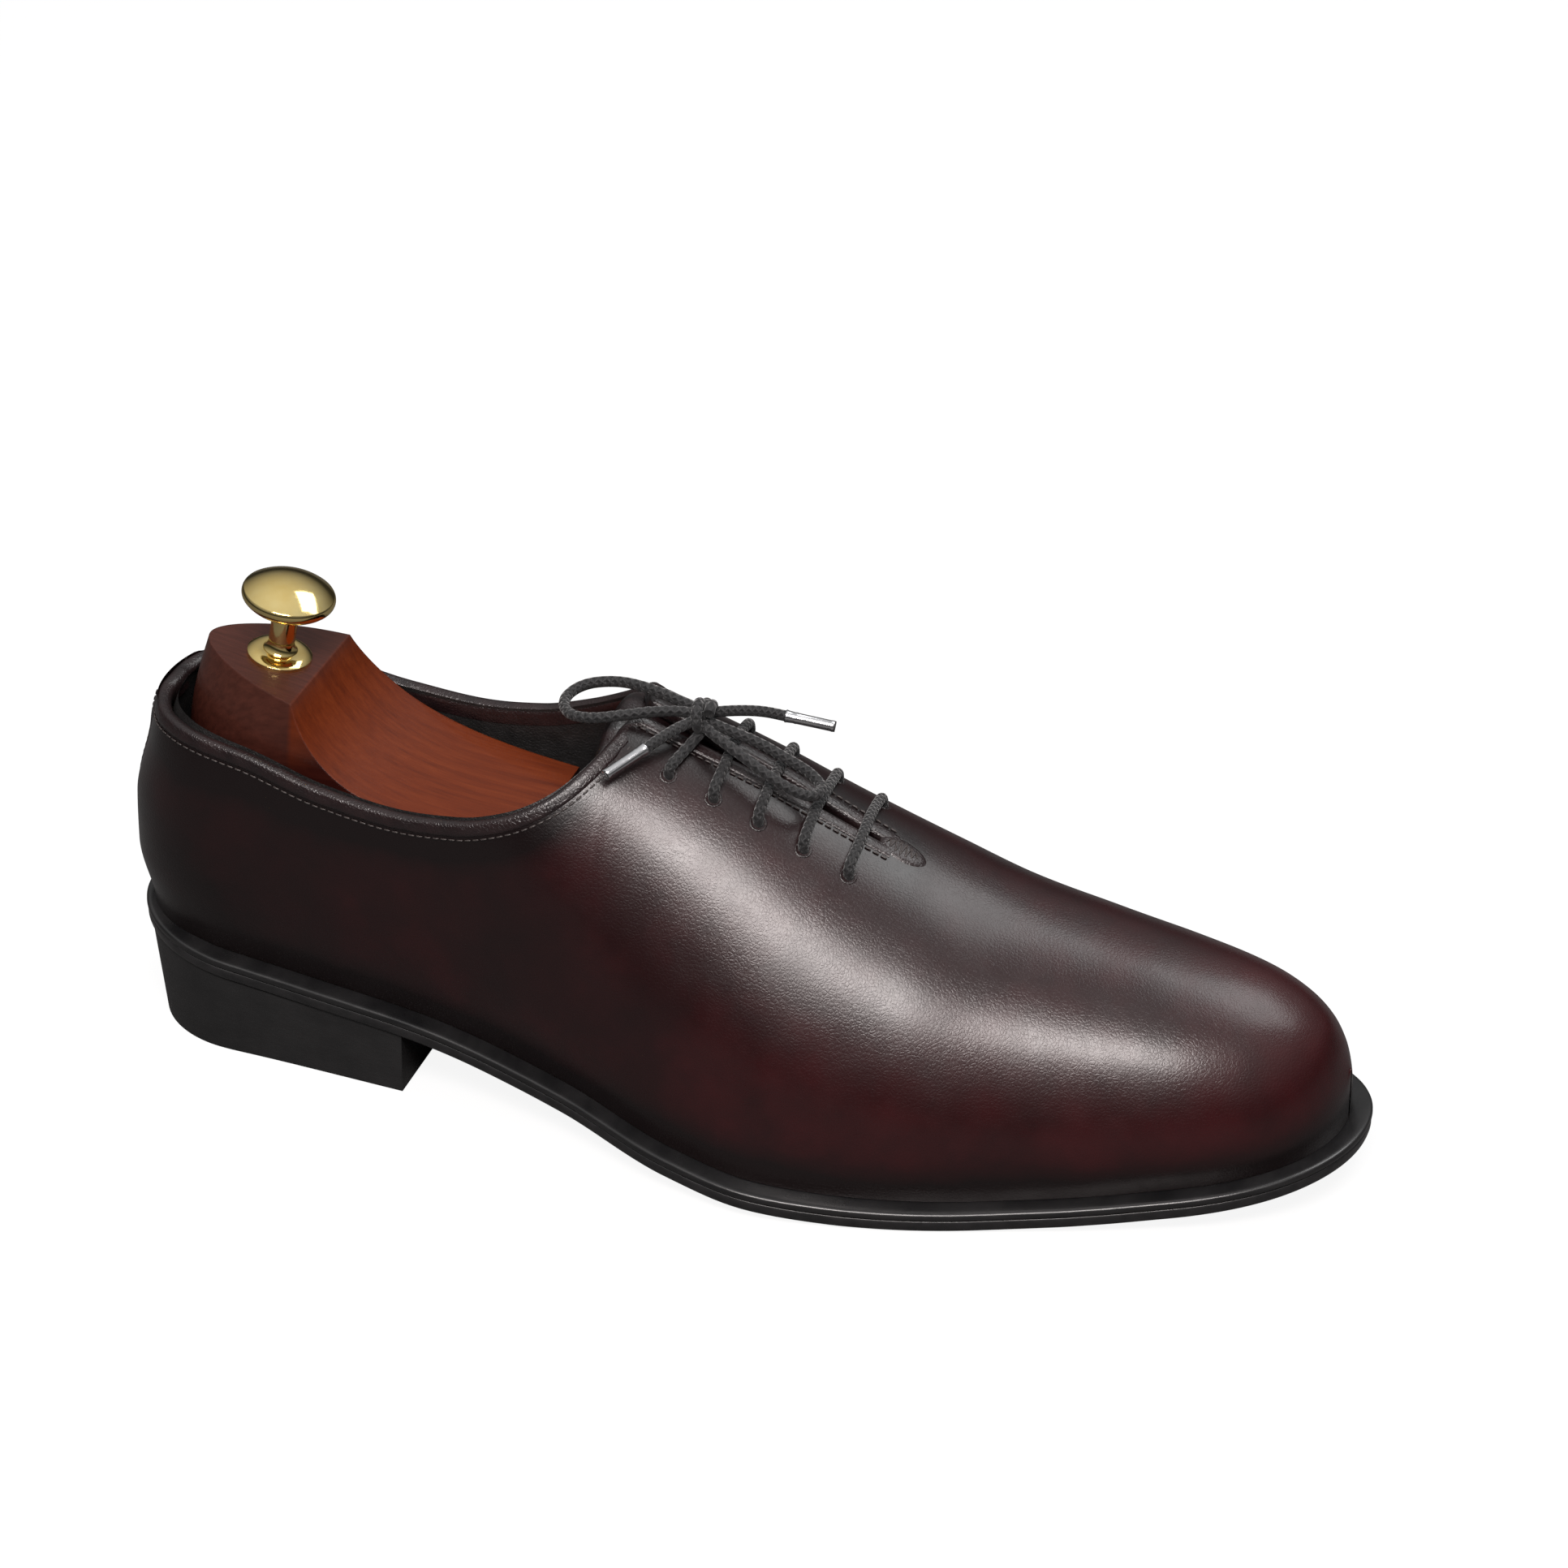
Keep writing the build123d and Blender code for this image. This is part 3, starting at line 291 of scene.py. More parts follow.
def grid_piece(name, points, material, body="shoe", closed=False):
    """A piece over a grid of station-line points, closed round its columns if asked."""
    faces = grid_faces(*points.shape[:2], closed=closed)
    return new_piece(name, row_array(points.reshape(-1, 3)), faces, material, body)


def weld(piece):
    """Joins vertices that lie on each other."""
    work = bmesh.new()
    work.from_mesh(piece.data)
    bmesh.ops.remove_doubles(work, verts=work.verts, dist=0.00002)
    work.to_mesh(piece.data)
    work.free()
    piece.data.shade_smooth()


def normals_of(points):
    """Unit normals of a grid of points, from its two directions."""
    cross = np.cross(np.gradient(points, axis=0), np.gradient(points, axis=1))
    size = np.linalg.norm(cross, axis=2, keepdims=True)
    return cross / np.maximum(size, 1e-12)


def swept_strip(name, path, outward, down, profile, material):
    """A profile of (outward, down) offsets swept along a path whose directions are given at each point."""
    offsets = np.array(profile, float)
    points = (path[:, None, :] + outward[:, None, :] * offsets[None, :, 0, None]
              + down[:, None, :] * offsets[None, :, 1, None])
    return grid_piece(name, points, material)


def turned(centre, axis, first, profile, around):
    """Points of a profile of (radius, height) turned about an axis, from the first direction."""
    second = axis.cross(first)
    points = []
    for k in range(around):
        turn = 2 * math.pi * k / around
        spoke = first * math.cos(turn) + second * math.sin(turn)
        points += [centre + spoke * radius + axis * height for radius, height in profile]
    return points


# -- node materials --
class Nodes:
    """Short calls for a material's node tree."""

    def __init__(self, name):
        self.material = bpy.data.materials.new(name)
        self.material.use_nodes = True
        self.tree = self.material.node_tree
        self.shader = self.tree.nodes["Principled BSDF"]
        self.place = self.add("ShaderNodeTexCoord").outputs["Object"]

    def add(self, kind, **values):
        """A new node whose inputs or settings have these values."""
        node = self.tree.nodes.new(kind)
        for key, value in values.items():
            if key in node.inputs:
                node.inputs[key].default_value = value
            else:
                setattr(node, key, value)
        return node

    def link(self, source, target):
        """Joins a node's output to a socket."""
        self.tree.links.new(source, target)

    def feed(self, socket, value):
        """Gives a socket another node's output, or a plain number or colour."""
        if isinstance(value, bpy.types.NodeSocket):
            self.link(value, socket)
        else:
            socket.default_value = (*value, 1) if isinstance(value, tuple) else value

    def noise(self, scale, detail=3.0, rough=0.55, stretch=None):
        """Noise in the object's own space; its scale is per metre."""
        node = self.add("ShaderNodeTexNoise", Scale=scale, Detail=detail, Roughness=rough)
        if stretch:
            mapping = self.add("ShaderNodeMapping", Scale=stretch)
            self.link(self.place, mapping.inputs["Vector"])
            self.link(mapping.outputs["Vector"], node.inputs["Vector"])
        else:
            self.link(self.place, node.inputs["Vector"])
        return node.outputs["Fac"]

    def math(self, operation, a, b=0.5, clamp=False):
        """One sum of two values."""
        node = self.add("ShaderNodeMath", operation=operation, use_clamp=clamp)
        self.feed(node.inputs[0], a)
        self.feed(node.inputs[1], b)
        return node.outputs[0]

    def ramp(self, factor, stops):
        """Colour ramp; the first two stops are its ends."""
        node = self.add("ShaderNodeValToRGB")
        elements = node.color_ramp.elements
        for place, colour in stops[2:]:
            elements.new(place)
        for element, (place, colour) in zip(elements, sorted(stops)):
            element.position = place
            element.color = (*colour, 1)
        self.link(factor, node.inputs["Fac"])
        return node.outputs["Color"]

    def mix(self, factor, a, b):
        """Colour a where the factor is nought, b where it is one."""
        node = self.add("ShaderNodeMix", data_type="RGBA")
        for place, value in ((0, factor), (6, a), (7, b)):
            self.feed(node.inputs[place], value)
        return node.outputs[2]

    def vary(self, value, dark, light):
        """Colour from dark to light over the middle of a noise."""
        return self.mix(self.span(value, 0.3, 0.7, 0.0, 1.0), dark, light)

    def axes(self, source):
        """The X, Y and Z outputs of a vector."""
        node = self.add("ShaderNodeSeparateXYZ")
        self.link(source, node.inputs[0])
        return node.outputs

    def facing(self):
        """The X, Y and Z outputs of the surface's normal."""
        return self.axes(self.add("ShaderNodeNewGeometry").outputs["Normal"])

    def span(self, value, low, high, to_low, to_high):
        """The value carried from one range to another and held at its ends."""
        limits = {"From Min": low, "From Max": high, "To Min": to_low, "To Max": to_high}
        node = self.add("ShaderNodeMapRange", **limits)
        self.link(value, node.inputs["Value"])
        return node.outputs["Result"]

    def bump(self, height, depth, under=None):
        """Normal of a relief this deep in metres, over another relief if one is given."""
        node = self.add("ShaderNodeBump", Strength=1.0, Distance=depth)
        self.link(height, node.inputs["Height"])
        if under is not None:
            self.link(under, node.inputs["Normal"])
        return node.outputs["Normal"]

    def finish(self, colour, rough, normal=None, **values):
        """Feeds the shader's main inputs, sets the uniform ones and returns the material."""
        self.feed(self.shader.inputs["Base Color"], colour)
        self.feed(self.shader.inputs["Roughness"], rough)
        if normal is not None:
            self.link(normal, self.shader.inputs["Normal"])
        for key, value in values.items():
            self.feed(self.shader.inputs[key.replace("_", " ")], value)
        return self.material


def grain(nodes, depth=0.00002):
    """Leather surface: fine pores over a net of tiny creases."""
    net = nodes.add("ShaderNodeTexVoronoi", Scale=1100.0, feature="DISTANCE_TO_EDGE")
    warp = nodes.add("ShaderNodeVectorMath", operation="ADD")
    wobble = nodes.add("ShaderNodeTexNoise", Scale=420.0, Detail=2.0)
    nodes.link(nodes.place, wobble.inputs["Vector"])
    small = nodes.add("ShaderNodeVectorMath", operation="SCALE", Scale=0.0011)
    nodes.link(wobble.outputs["Color"], small.inputs[0])
    nodes.link(nodes.place, warp.inputs[0])
    nodes.link(small.outputs[0], warp.inputs[1])
    nodes.link(warp.outputs[0], net.inputs["Vector"])
    lines = nodes.span(net.outputs["Distance"], 0.0, 0.25, 0.0, 1.0)
    pores = nodes.noise(2300.0, 2.0)
    swell = nodes.noise(230.0, 3.0)
    first = nodes.bump(lines, depth)
    second = nodes.bump(pores, depth * 0.8, under=first)
    return nodes.bump(swell, depth * 1.5, under=second)


def shade_painted_leather():
    """Oxblood calf with uneven patches of tone, darkened by painted shade read from a per-point attribute of
    the piece, and lightened at the toe by painted light.
    """
    n = Nodes("shade_painted_leather")
    painted_shade = n.add("ShaderNodeAttribute", attribute_name="painted_shade").outputs["Fac"]
    cloud = n.noise(26.0, 4.0, 0.6)
    streak = n.noise(70.0, 3.0, 0.6)
    patch = n.math("SUBTRACT", n.math("MULTIPLY", cloud, 0.9), 0.02)
    patch = n.math("ADD", patch, n.math("MULTIPLY", n.math("SUBTRACT", streak, 0.5), 0.3))
    # painted shade: the per-point shade value is taken off the leather's lightness; its negative values at
    # the toe paint light
    lightness = n.math("SUBTRACT", patch, painted_shade, clamp=True)
    colour = n.ramp(lightness, [(0.0, (0.0048, 0.0017, 0.0019)), (1.0, (0.070, 0.0062, 0.0084)),
                                (0.35, (0.014, 0.0025, 0.0030)), (0.7, (0.036, 0.0042, 0.0054))])
    rough = n.span(n.noise(90.0, 3.0), 0.3, 0.7, 0.27, 0.35)
    return n.finish(colour, rough, grain(n), Coat_Weight=0.3, Coat_Roughness=0.24, Specular_IOR_Level=0.38)


def plain_leather(name, dark, light, rough_low, rough_high, coat):
    """Grained leather or board of one even colour."""
    n = Nodes(name)
    colour = n.vary(n.noise(160.0, 4.0), dark, light)
    rough = n.span(n.noise(300.0, 3.0), 0.3, 0.7, rough_low, rough_high)
    return n.finish(colour, rough, grain(n, depth=0.00006), Coat_Weight=coat, Coat_Roughness=0.25)


def waxed_edge():
    """Black waxed edge of the welt and heel, with faint long strokes and a worn bloom."""
    n = Nodes("waxed_edge")
    stroke = n.noise(240.0, 4.0, stretch=(0.2, 0.2, 3.0))
    colour = n.mix(n.span(stroke, 0.35, 0.7, 0.0, 1.0), (0.006, 0.006, 0.0065), (0.016, 0.0155, 0.016))
    rough = n.span(n.noise(120.0, 3.0), 0.3, 0.7, 0.26, 0.4)
    return n.finish(colour, rough, n.bump(stroke, 0.00008), Coat_Weight=0.25, Coat_Roughness=0.2)


def sole_leather():
    """Black edge and a polished burgundy bottom, by which way the surface faces."""
    n = Nodes("sole_leather")
    below = n.span(n.facing()["Z"], -0.9, -0.6, 1.0, 0.0)
    fibre = n.noise(420.0, 4.0, stretch=(0.5, 1.0, 1.0))
    red = n.vary(fibre, (0.16, 0.010, 0.014), (0.27, 0.020, 0.024))
    black = n.vary(fibre, (0.007, 0.007, 0.0075), (0.018, 0.017, 0.018))
    colour = n.mix(below, black, red)
    rough = n.span(n.noise(80.0, 3.0), 0.3, 0.7, 0.3, 0.44)
    return n.finish(colour, rough, n.bump(fibre, 0.00005), Coat_Weight=0.3, Coat_Roughness=0.2)


LIFT_THICKNESS = 0.0052


def heel_stack():
    """Matt black heel with the faint lines of its lifts."""
    n = Nodes("heel_stack")
    layers = n.math("SINE", n.math("MULTIPLY", n.axes(n.place)["Z"], 2 * math.pi / LIFT_THICKNESS))
    fine = n.noise(900.0, 3.0, stretch=(0.6, 0.6, 2.0))
    colour = n.vary(n.noise(60.0, 4.0), (0.0095, 0.0095, 0.010), (0.019, 0.0185, 0.019))
    first = n.bump(layers, 0.00002)
    rough = n.span(fine, 0.3, 0.7, 0.42, 0.56)
    return n.finish(colour, rough, n.bump(fine, 0.00006, under=first), Coat_Weight=0.05, Coat_Roughness=0.35)


SCOOP_START = (46.0, 47.4)


def tree_wood():
    """Stained wood: lacquered sides with painted shade, a matt tilted top with painted light, and a paler,
    grained scoop.
    """
    n = Nodes("tree_wood")
    up = n.span(n.facing()["Z"], 0.12, 0.30, 0.0, 1.0)
    front = n.span(n.axes(n.place)["X"], *[(s + ROW_X) / 1000 for s in SCOOP_START], 0.0, 1.0)
    scoop = n.math("MULTIPLY", up, front)
    streaks = n.noise(330.0, 3.0, stretch=(0.05, 1.0, 0.22))
    fibre = n.noise(1100.0, 4.0, stretch=(0.06, 1.0, 0.5))
    cloud = n.noise(26.0, 3.0)
    figure = n.math("ADD", n.math("MULTIPLY", streaks, 0.55), n.math("MULTIPLY", fibre, 0.45))
    pale = n.ramp(figure, [(0.30, (0.075, 0.011, 0.0020)), (0.72, (0.160, 0.030, 0.0060)),
                           (0.5, (0.118, 0.019, 0.0032))])
    pale = n.mix(n.span(cloud, 0.35, 0.7, 0.0, 0.35), pale, (0.090, 0.012, 0.0020))
    # Painted light and shade: the sides get a darker colour as painted shade and upward faces a lighter one
    # as painted light, by how far the surface faces up.
    side = n.vary(fibre, (0.016, 0.0030, 0.0024), (0.034, 0.0066, 0.0044))
    top = n.vary(fibre, (0.046, 0.014, 0.0095), (0.072, 0.022, 0.015))
    colour = n.mix(up, side, top)
    colour = n.mix(scoop, colour, pale)
    rough = n.math("ADD", n.math("MULTIPLY", up, 0.20), 0.20)
    rough = n.math("ADD", rough, n.math("MULTIPLY", n.noise(200.0, 2.0), 0.08))
    edge = n.add("ShaderNodeBevel", Radius=0.0007, samples=6).outputs["Normal"]
    return n.finish(colour, rough, n.bump(fibre, 0.00006, under=edge), Coat_Weight=0.22, Coat_Roughness=0.12,
                    Specular_IOR_Level=0.15)


def metal(name, dark, light, rough_low, rough_high, stretch=None):
    """Metal with faint scratches and softened edges."""
    n = Nodes(name)
    marks = n.noise(1400.0, 3.0, stretch=stretch)
    colour = n.vary(n.noise(120.0, 3.0), dark, light)
    rough = n.span(marks, 0.3, 0.7, rough_low, rough_high)
    edge = n.add("ShaderNodeBevel", Radius=0.0003, samples=6).outputs["Normal"]
    return n.finish(colour, rough, n.bump(marks, 0.000004, under=edge), Metallic=1.0)


BRAID_PITCH = 1.9
BRAID_STRANDS = 4


def braid():
    """Waxed black braid: two sets of strands crossing round the lace."""
    n = Nodes("waxed_braid")
    uv = n.axes(n.add("ShaderNodeTexCoord").outputs["UV"])
    length = n.add("ShaderNodeAttribute", attribute_name="run", attribute_type="OBJECT").outputs["Fac"]
    along = n.math("MULTIPLY", n.math("MULTIPLY", uv["X"], length), 2 * math.pi / BRAID_PITCH)
    around = n.math("MULTIPLY", uv["Y"], 2 * math.pi * BRAID_STRANDS)
    one = n.math("SINE", n.math("ADD", along, around))
    two = n.math("SINE", n.math("SUBTRACT", along, around))
    strands = n.math("MAXIMUM", one, two)
    fuzz = n.noise(5200.0, 3.0)
    # Painted shade: the grooves between the strands are painted darker than the strands' crests.
    colour = n.mix(n.span(strands, -0.4, 1.0, 0.0, 1.0), (0.0032, 0.0032, 0.0036), (0.013, 0.013, 0.014))
    first = n.bump(strands, 0.00014)
    rough = n.span(fuzz, 0.3, 0.7, 0.55, 0.75)
    return n.finish(colour, rough, n.bump(fuzz, 0.00006, under=first), Sheen_Weight=0.25, Sheen_Roughness=0.4)


def thread():
    """Twisted sewing thread, mostly dark with paler turns."""
    n = Nodes("thread")
    twist = n.noise(4200.0, 3.0)
    colour = n.vary(twist, (0.010, 0.008, 0.008), (0.085, 0.070, 0.066))
    rough = n.span(twist, 0.3, 0.7, 0.32, 0.5)
    return n.finish(colour, rough, n.bump(twist, 0.00004))


def cork():
    """Cork grains in a paste."""
    n = Nodes("cork_paste")
    grains = n.add("ShaderNodeTexVoronoi", Scale=700.0)
    n.link(n.place, grains.inputs["Vector"])
    depth = grains.outputs["Distance"]
    colour = n.mix(n.span(depth, 0.0, 0.7, 0.0, 1.0), (0.30, 0.17, 0.08), (0.52, 0.34, 0.18))
    return n.finish(colour, n.span(n.noise(500.0), 0.3, 0.7, 0.6, 0.8), n.bump(depth, 0.0002))


def woven():
    """Plain-woven cotton."""
    n = Nodes("woven_cotton")
    place = n.axes(n.place)
    warp = n.math("SINE", n.math("MULTIPLY", place["X"], 9000.0))
    weft = n.math("SINE", n.math("MULTIPLY", place["Z"], 9000.0))
    cloth = n.math("MULTIPLY", warp, weft)
    colour = n.mix(n.span(cloth, -1.0, 1.0, 0.0, 1.0), (0.45, 0.43, 0.38), (0.62, 0.60, 0.54))
    return n.finish(colour, n.span(n.noise(800.0), 0.3, 0.7, 0.7, 0.85), n.bump(cloth, 0.00008))


LEATHER = shade_painted_leather()
DARK = plain_leather("dark_leather", (0.0075, 0.004, 0.0045), (0.017, 0.0075, 0.008), 0.28, 0.42, 0.25)
LINING = plain_leather("lining_leather", (0.0065, 0.006, 0.006), (0.014, 0.0125, 0.0125), 0.45, 0.6, 0.0)
BOARD = plain_leather("leather_board", (0.24, 0.15, 0.09), (0.36, 0.25, 0.16), 0.55, 0.7, 0.0)
EDGE = waxed_edge()
SOLE = sole_leather()
HEEL = heel_stack()
WOOD = tree_wood()
BRASS = metal("polished_brass", (0.93, 0.68, 0.24), (1.0, 0.80, 0.36), 0.07, 0.14)
STEEL = metal("bright_steel", (0.50, 0.50, 0.52), (0.66, 0.66, 0.67), 0.22, 0.38, stretch=(0.1, 1.0, 1.0))
SILVER = metal("aglet_metal", (0.66, 0.66, 0.68), (0.85, 0.85, 0.86), 0.14, 0.26)
BRAID = braid()
THREAD = thread()
CORK = cork()
WOVEN = woven()

# -- camera --
VIEW_TURN, VIEW_RISE, VIEW_DISTANCE = math.radians(18.0), math.radians(30.0), 1.2
LENS = 116.3
target = Vector(row_point(155.45, 20.55, 70.94))
back = Vector((math.sin(VIEW_TURN) * math.cos(VIEW_RISE), -math.cos(VIEW_TURN) * math.cos(VIEW_RISE),
               math.sin(VIEW_RISE)))
camera_data = bpy.data.cameras.new("camera")
camera_data.lens = LENS
camera_data.sensor_width = 36.0
camera = put("camera", camera_data)
camera.location = target + back * VIEW_DISTANCE
camera.rotation_euler = (-back).to_track_quat("-Z", "Y").to_euler()
bpy.context.scene.camera = camera

# -- laces --
UNDER = CAVITY_IN + LACE / 2 + 0.5
OVER = LACE / 2 + 0.35


def lace_curve(name, points):
    """A smooth round lace whose route has these control points."""
    data = bpy.data.curves.new(name, "CURVE")
    data.dimensions = "3D"
    data.bevel_depth = 1.0
    data.bevel_resolution = 6
    data.use_fill_caps = True
    spline = data.splines.new("NURBS")
    spline.points.add(len(points) - 1)
    for point, place in zip(spline.points, points):
        point.co = (*row_point(*place), 1)
        point.radius = LACE / 2 / 1000
    spline.order_u = 3
    spline.use_endpoint_u = True
    spline.resolution_u = 10
    data.materials.append(BRAID)
    piece = put(name, data)
    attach(piece, "shoe")
    run = route_length(piece)
    piece["run"] = run * 1000
    return piece, run


def route_length(piece):
    """Length in metres of a lace's smooth middle line."""
    depth = piece.data.bevel_depth
    piece.data.bevel_depth = 0
    bpy.context.view_layer.update()
    line = bpy.data.meshes.new_from_object(piece)
    piece.data.bevel_depth = depth
    places = [v.co.copy() for v in line.vertices]
    bpy.data.meshes.remove(line)
    return sum((b - a).length for a, b in zip(places, places[1:]))


def over_leather(station, side, lift):
    """A spot this far above the leather."""
    return (station, side, skin_height(station, side) + lift)


def through_eyelet(number, side):
    """The lace's two corners at an eyelet: outside and inside."""
    row = EYELET_ROWS[number]
    near = skin_height(row, side * (EYELET_SIDE - 2))
    far = skin_height(row, side * (EYELET_SIDE + 2))
    tilt = math.atan2(near - far, 4.0)
    axis = Vector((0, side * math.sin(tilt), math.cos(tilt)))
    centre = Vector(over_leather(row, side * EYELET_SIDE, 0))
    return [tuple(centre + axis * (OVER + 0.9)), tuple(centre - axis * UNDER)]


def lace_bar(number, from_side):
    """The lace's straight run over the facings between the two eyelets of a row."""
    row = EYELET_ROWS[number]
    out = list(reversed(through_eyelet(number, from_side)))
    spots = ((0.3, 7.5, 0.15), (0.3, 2.0, 0.1), (0.0, -3.0, 0.1), (0.0, -8.0, 0.15))
    middle = [over_leather(row + ahead, from_side * side, OVER + lift) for ahead, side, lift in spots]
    return out + middle + through_eyelet(number, -from_side)


LEFT, RIGHT = -1, 1
held = [(143.0, -3.0, 95.6), over_leather(140.6, -8.0, OVER + 0.2)]
held += through_eyelet(0, LEFT) + list(reversed(through_eyelet(1, LEFT)))
held += lace_bar(1, LEFT)[2:]
held += [over_leather(EYELET_ROWS[2], EYELET_SIDE - 3.8, -UNDER - 0.6)]
held += lace_bar(3, RIGHT)
held += list(reversed(through_eyelet(4, LEFT))) + lace_bar(4, LEFT)[2:]
held += [over_leather(EYELET_ROWS[3], EYELET_SIDE + 3.8, -UNDER - 1.2)]
held += lace_bar(2, RIGHT)
held += [over_leather(EYELET_ROWS[1] + 1, 1.0, -UNDER + 0.2)]
held += list(reversed(through_eyelet(0, RIGHT)))
held += [over_leather(140.6, 7.4, OVER + 0.2), (143.0, 1.2, 95.6)]
held_lace, _ = lace_curve("lace_in_eyelets", held)
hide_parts("lace_through_eyelets")

LOOP_BACK = (
    (143, 0.4, 98.4), (141, 0.8, 99.4), (134, 1.4, 101), (127, 2.6, 102), (119.5, 4, 101.5),
    (112, 2.2, 100.3), (109, -3.6, 98.8), (112.4, -9.4, 98.2), (119, -10.8, 99), (126.4, -8.2, 100),
    (133.6, -5.0, 100.6), (140.6, -2.4, 100.2), (143.4, -1.6, 98.6))
LOOP_FRONT = (
    (142.6, -1.4, 98.2), (145, -1.4, 97.4), (151, -1.8, 96), (157.2, -1.2, 93.8), (163.4, -1.6, 91.2),
    (169, -1.8, 88.8), (173.6, -4.6, 86.6), (171.8, -9.2, 86.4), (166, -10, 88.6), (159.4, -8.8, 91.4),
    (152.4, -6.8, 94.4), (145.6, -4.4, 96.6), (142.8, -2.6, 97.6))
END_LEFT = (
    (143.6, -0.6, 98.6), (141.2, -4, 98.6), (138.4, -8.6, 98.4), (136.2, -12.2, 97.6), (133.8, -15.6, 96.4),
    (130.4, -20.4, 94.7), (127.1, -25.0, 93.1))
END_RIGHT = (
    (141.4, 0.2, 98.4), (145.6, 1.6, 99), (151, 2.4, 99.8), (156, 3.6, 99.8), (161, 4.4, 99),
    (166.5, 5.3, 98.1), (172.6, 6.3, 97.1))


def aglet(name, points, node):
    """A crimped metal tip over the last stretch of a lace end."""
    start, tip = Vector(row_point(*points[-3])), Vector(row_point(*points[-1]))
    axis = (tip - start).normalized()
    length = (tip - start).length * 1000
    radius = LACE / 2 + 0.12
    profile = [(radius - 0.35, 0.0), (radius, 0.0), (radius + 0.12, 0.25), (radius + 0.02, 0.6),
               (radius - 0.1, 2.2), (radius - 0.02, 2.6), (radius - 0.1, 3.0), (radius - 0.12, length - 1.2),
               (radius - 0.05, length - 0.5), (radius - 0.3, length), (0.0, length + 0.05)]
    metres = [(r / 1000, h / 1000) for r, h in profile]
    spots = turned(start, axis, axis.orthogonal().normalized(), metres, 28)
    piece = new_piece(name, spots, grid_faces(28, len(profile), closed=True), SILVER)
    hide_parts(node)
    return piece


BOW = (
    ("bow_loop_back", LOOP_BACK, "lace_loop_back", None),
    ("bow_loop_front", LOOP_FRONT, "lace_loop_front", None),
    ("bow_end_left", END_LEFT, "lace_end_left", "aglet_left"),
    ("bow_end_right", END_RIGHT, "lace_end_right", "aglet_right"))
for name, route, node, tip_node in BOW:
    lace, run = lace_curve(name, route)
    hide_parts(node)
    tips = [aglet(tip_node + "_metal", route, tip_node)] if tip_node else []

KNOT = (140.3, -1.2, 98.6)
knot_points = []
for k in range(15):
    turn = math.radians(-70 + 40 * k)
    knot_points.append((KNOT[0] + 0.34 * k, KNOT[1] + 3.7 * math.cos(turn), KNOT[2] + 3.1 * math.sin(turn)))
knot, _ = lace_curve("bow_knot", knot_points)
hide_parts("lace_knot")

# -- upper, lining and their edges --
COLUMNS, ROWS = 300, 96
stations, halves, lengths = upper_grids(0.0, COLUMNS, ROWS)


def painted_shade_of(lengths):
    """How much painted shade darkens each point of one half of the upper, nought to one and over; below
    nought it is painted light.
    """
    share = np.linspace(0, 1, ROWS)[None, :]
    to_foot = share * lengths[:, None]
    to_edge = (1 - share) * lengths[:, None]
    place = stations[:, None] + 0 * share
    open_edge = 1 - smoothstep(122, 132, place)
    slit = smoothstep(120, 132, place) * (1 - smoothstep(188, 206, place))
    # Painted shade in bands along the topline, along the slit's facings, at the foot by the welt, over the
    # heel and over the waist; the negative toe term is painted light.
    top = np.exp(-((to_edge / 9.0) ** 2)) * open_edge * smoothstep(3, 9, place)
    facing = 0.55 * np.exp(-((to_edge / 11.0) ** 2)) * slit
    foot = 0.9 * np.exp(-((to_foot / 6.5) ** 2))
    heel = 0.30 * (1 - smoothstep(22, 95, place))
    waist = 0.12 * np.exp(-(((place - 108) / 30) ** 2)) * smoothstep(0, 25, to_foot)
    toe = -0.10 * smoothstep(215, 285, place)
    return top + facing + foot + heel + waist + toe


def leather_skin(name, grids, material, lengths=None):
    """Both halves of a leather layer as one piece."""
    vertices = np.concatenate([row_array(grid.reshape(-1, 3)) for grid in grids])
    columns, rows = grids[0].shape[:2]
    faces = grid_faces(columns, rows) + grid_faces(columns, rows, columns * rows, flip=True)
    piece = new_piece(name, vertices, faces, material)
    if lengths is not None:
        # painted shade per point, kept on the mesh for the leather material to darken the upper
        values = np.concatenate([painted_shade_of(half).reshape(-1) for half in lengths])
        layer = piece.data.attributes.new("painted_shade", "FLOAT", "POINT")
        layer.data.foreach_set("value", values.astype(np.float32))
    weld(piece)
    return piece


skin = leather_skin("wholecut_upper", halves, LEATHER, lengths)
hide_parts("upper")
_, inner_halves, _ = upper_grids(CAVITY_IN, 200, 60)
inner = leather_skin("inner_lining", inner_halves, LINING)
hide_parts("quarter_lining", "vamp_lining")


BACK_EDGE = 86.3


def edge_path():
    """The upper's open edge, from the slit's end up the lateral side, round the heel and back."""
    path, outward, down = [], [], []
    normals = [normals_of(halves[0]), -normals_of(halves[1])]
    lateral = [i for i, s in enumerate(stations)
               if s <= SLIT_END and (s > 12 or halves[0][i, -1, 2] >= BACK_EDGE)]
    first = min(i for i in lateral if abs(halves[0][i, -1, 1] - halves[1][i, -1, 1]) > 0.6)
    chain = [(0, i) for i in reversed(range(first, max(lateral) + 1))]
    chain += [(1, i) for i in range(first, max(lateral) + 1)]
    for half, i in chain:
        path.append(halves[half][i, -1])
        step = halves[half][i, -3] - halves[half][i, -1]
        down.append(step / max(np.linalg.norm(step), 1e-9))
        outward.append(normals[half][i, -2])
    return np.array(path), np.array(outward), np.array(down)


def distances(path):
    """How far along the path each of its points is."""
    return np.concatenate([[0], np.cumsum(np.linalg.norm(np.diff(path, axis=0), axis=1))])


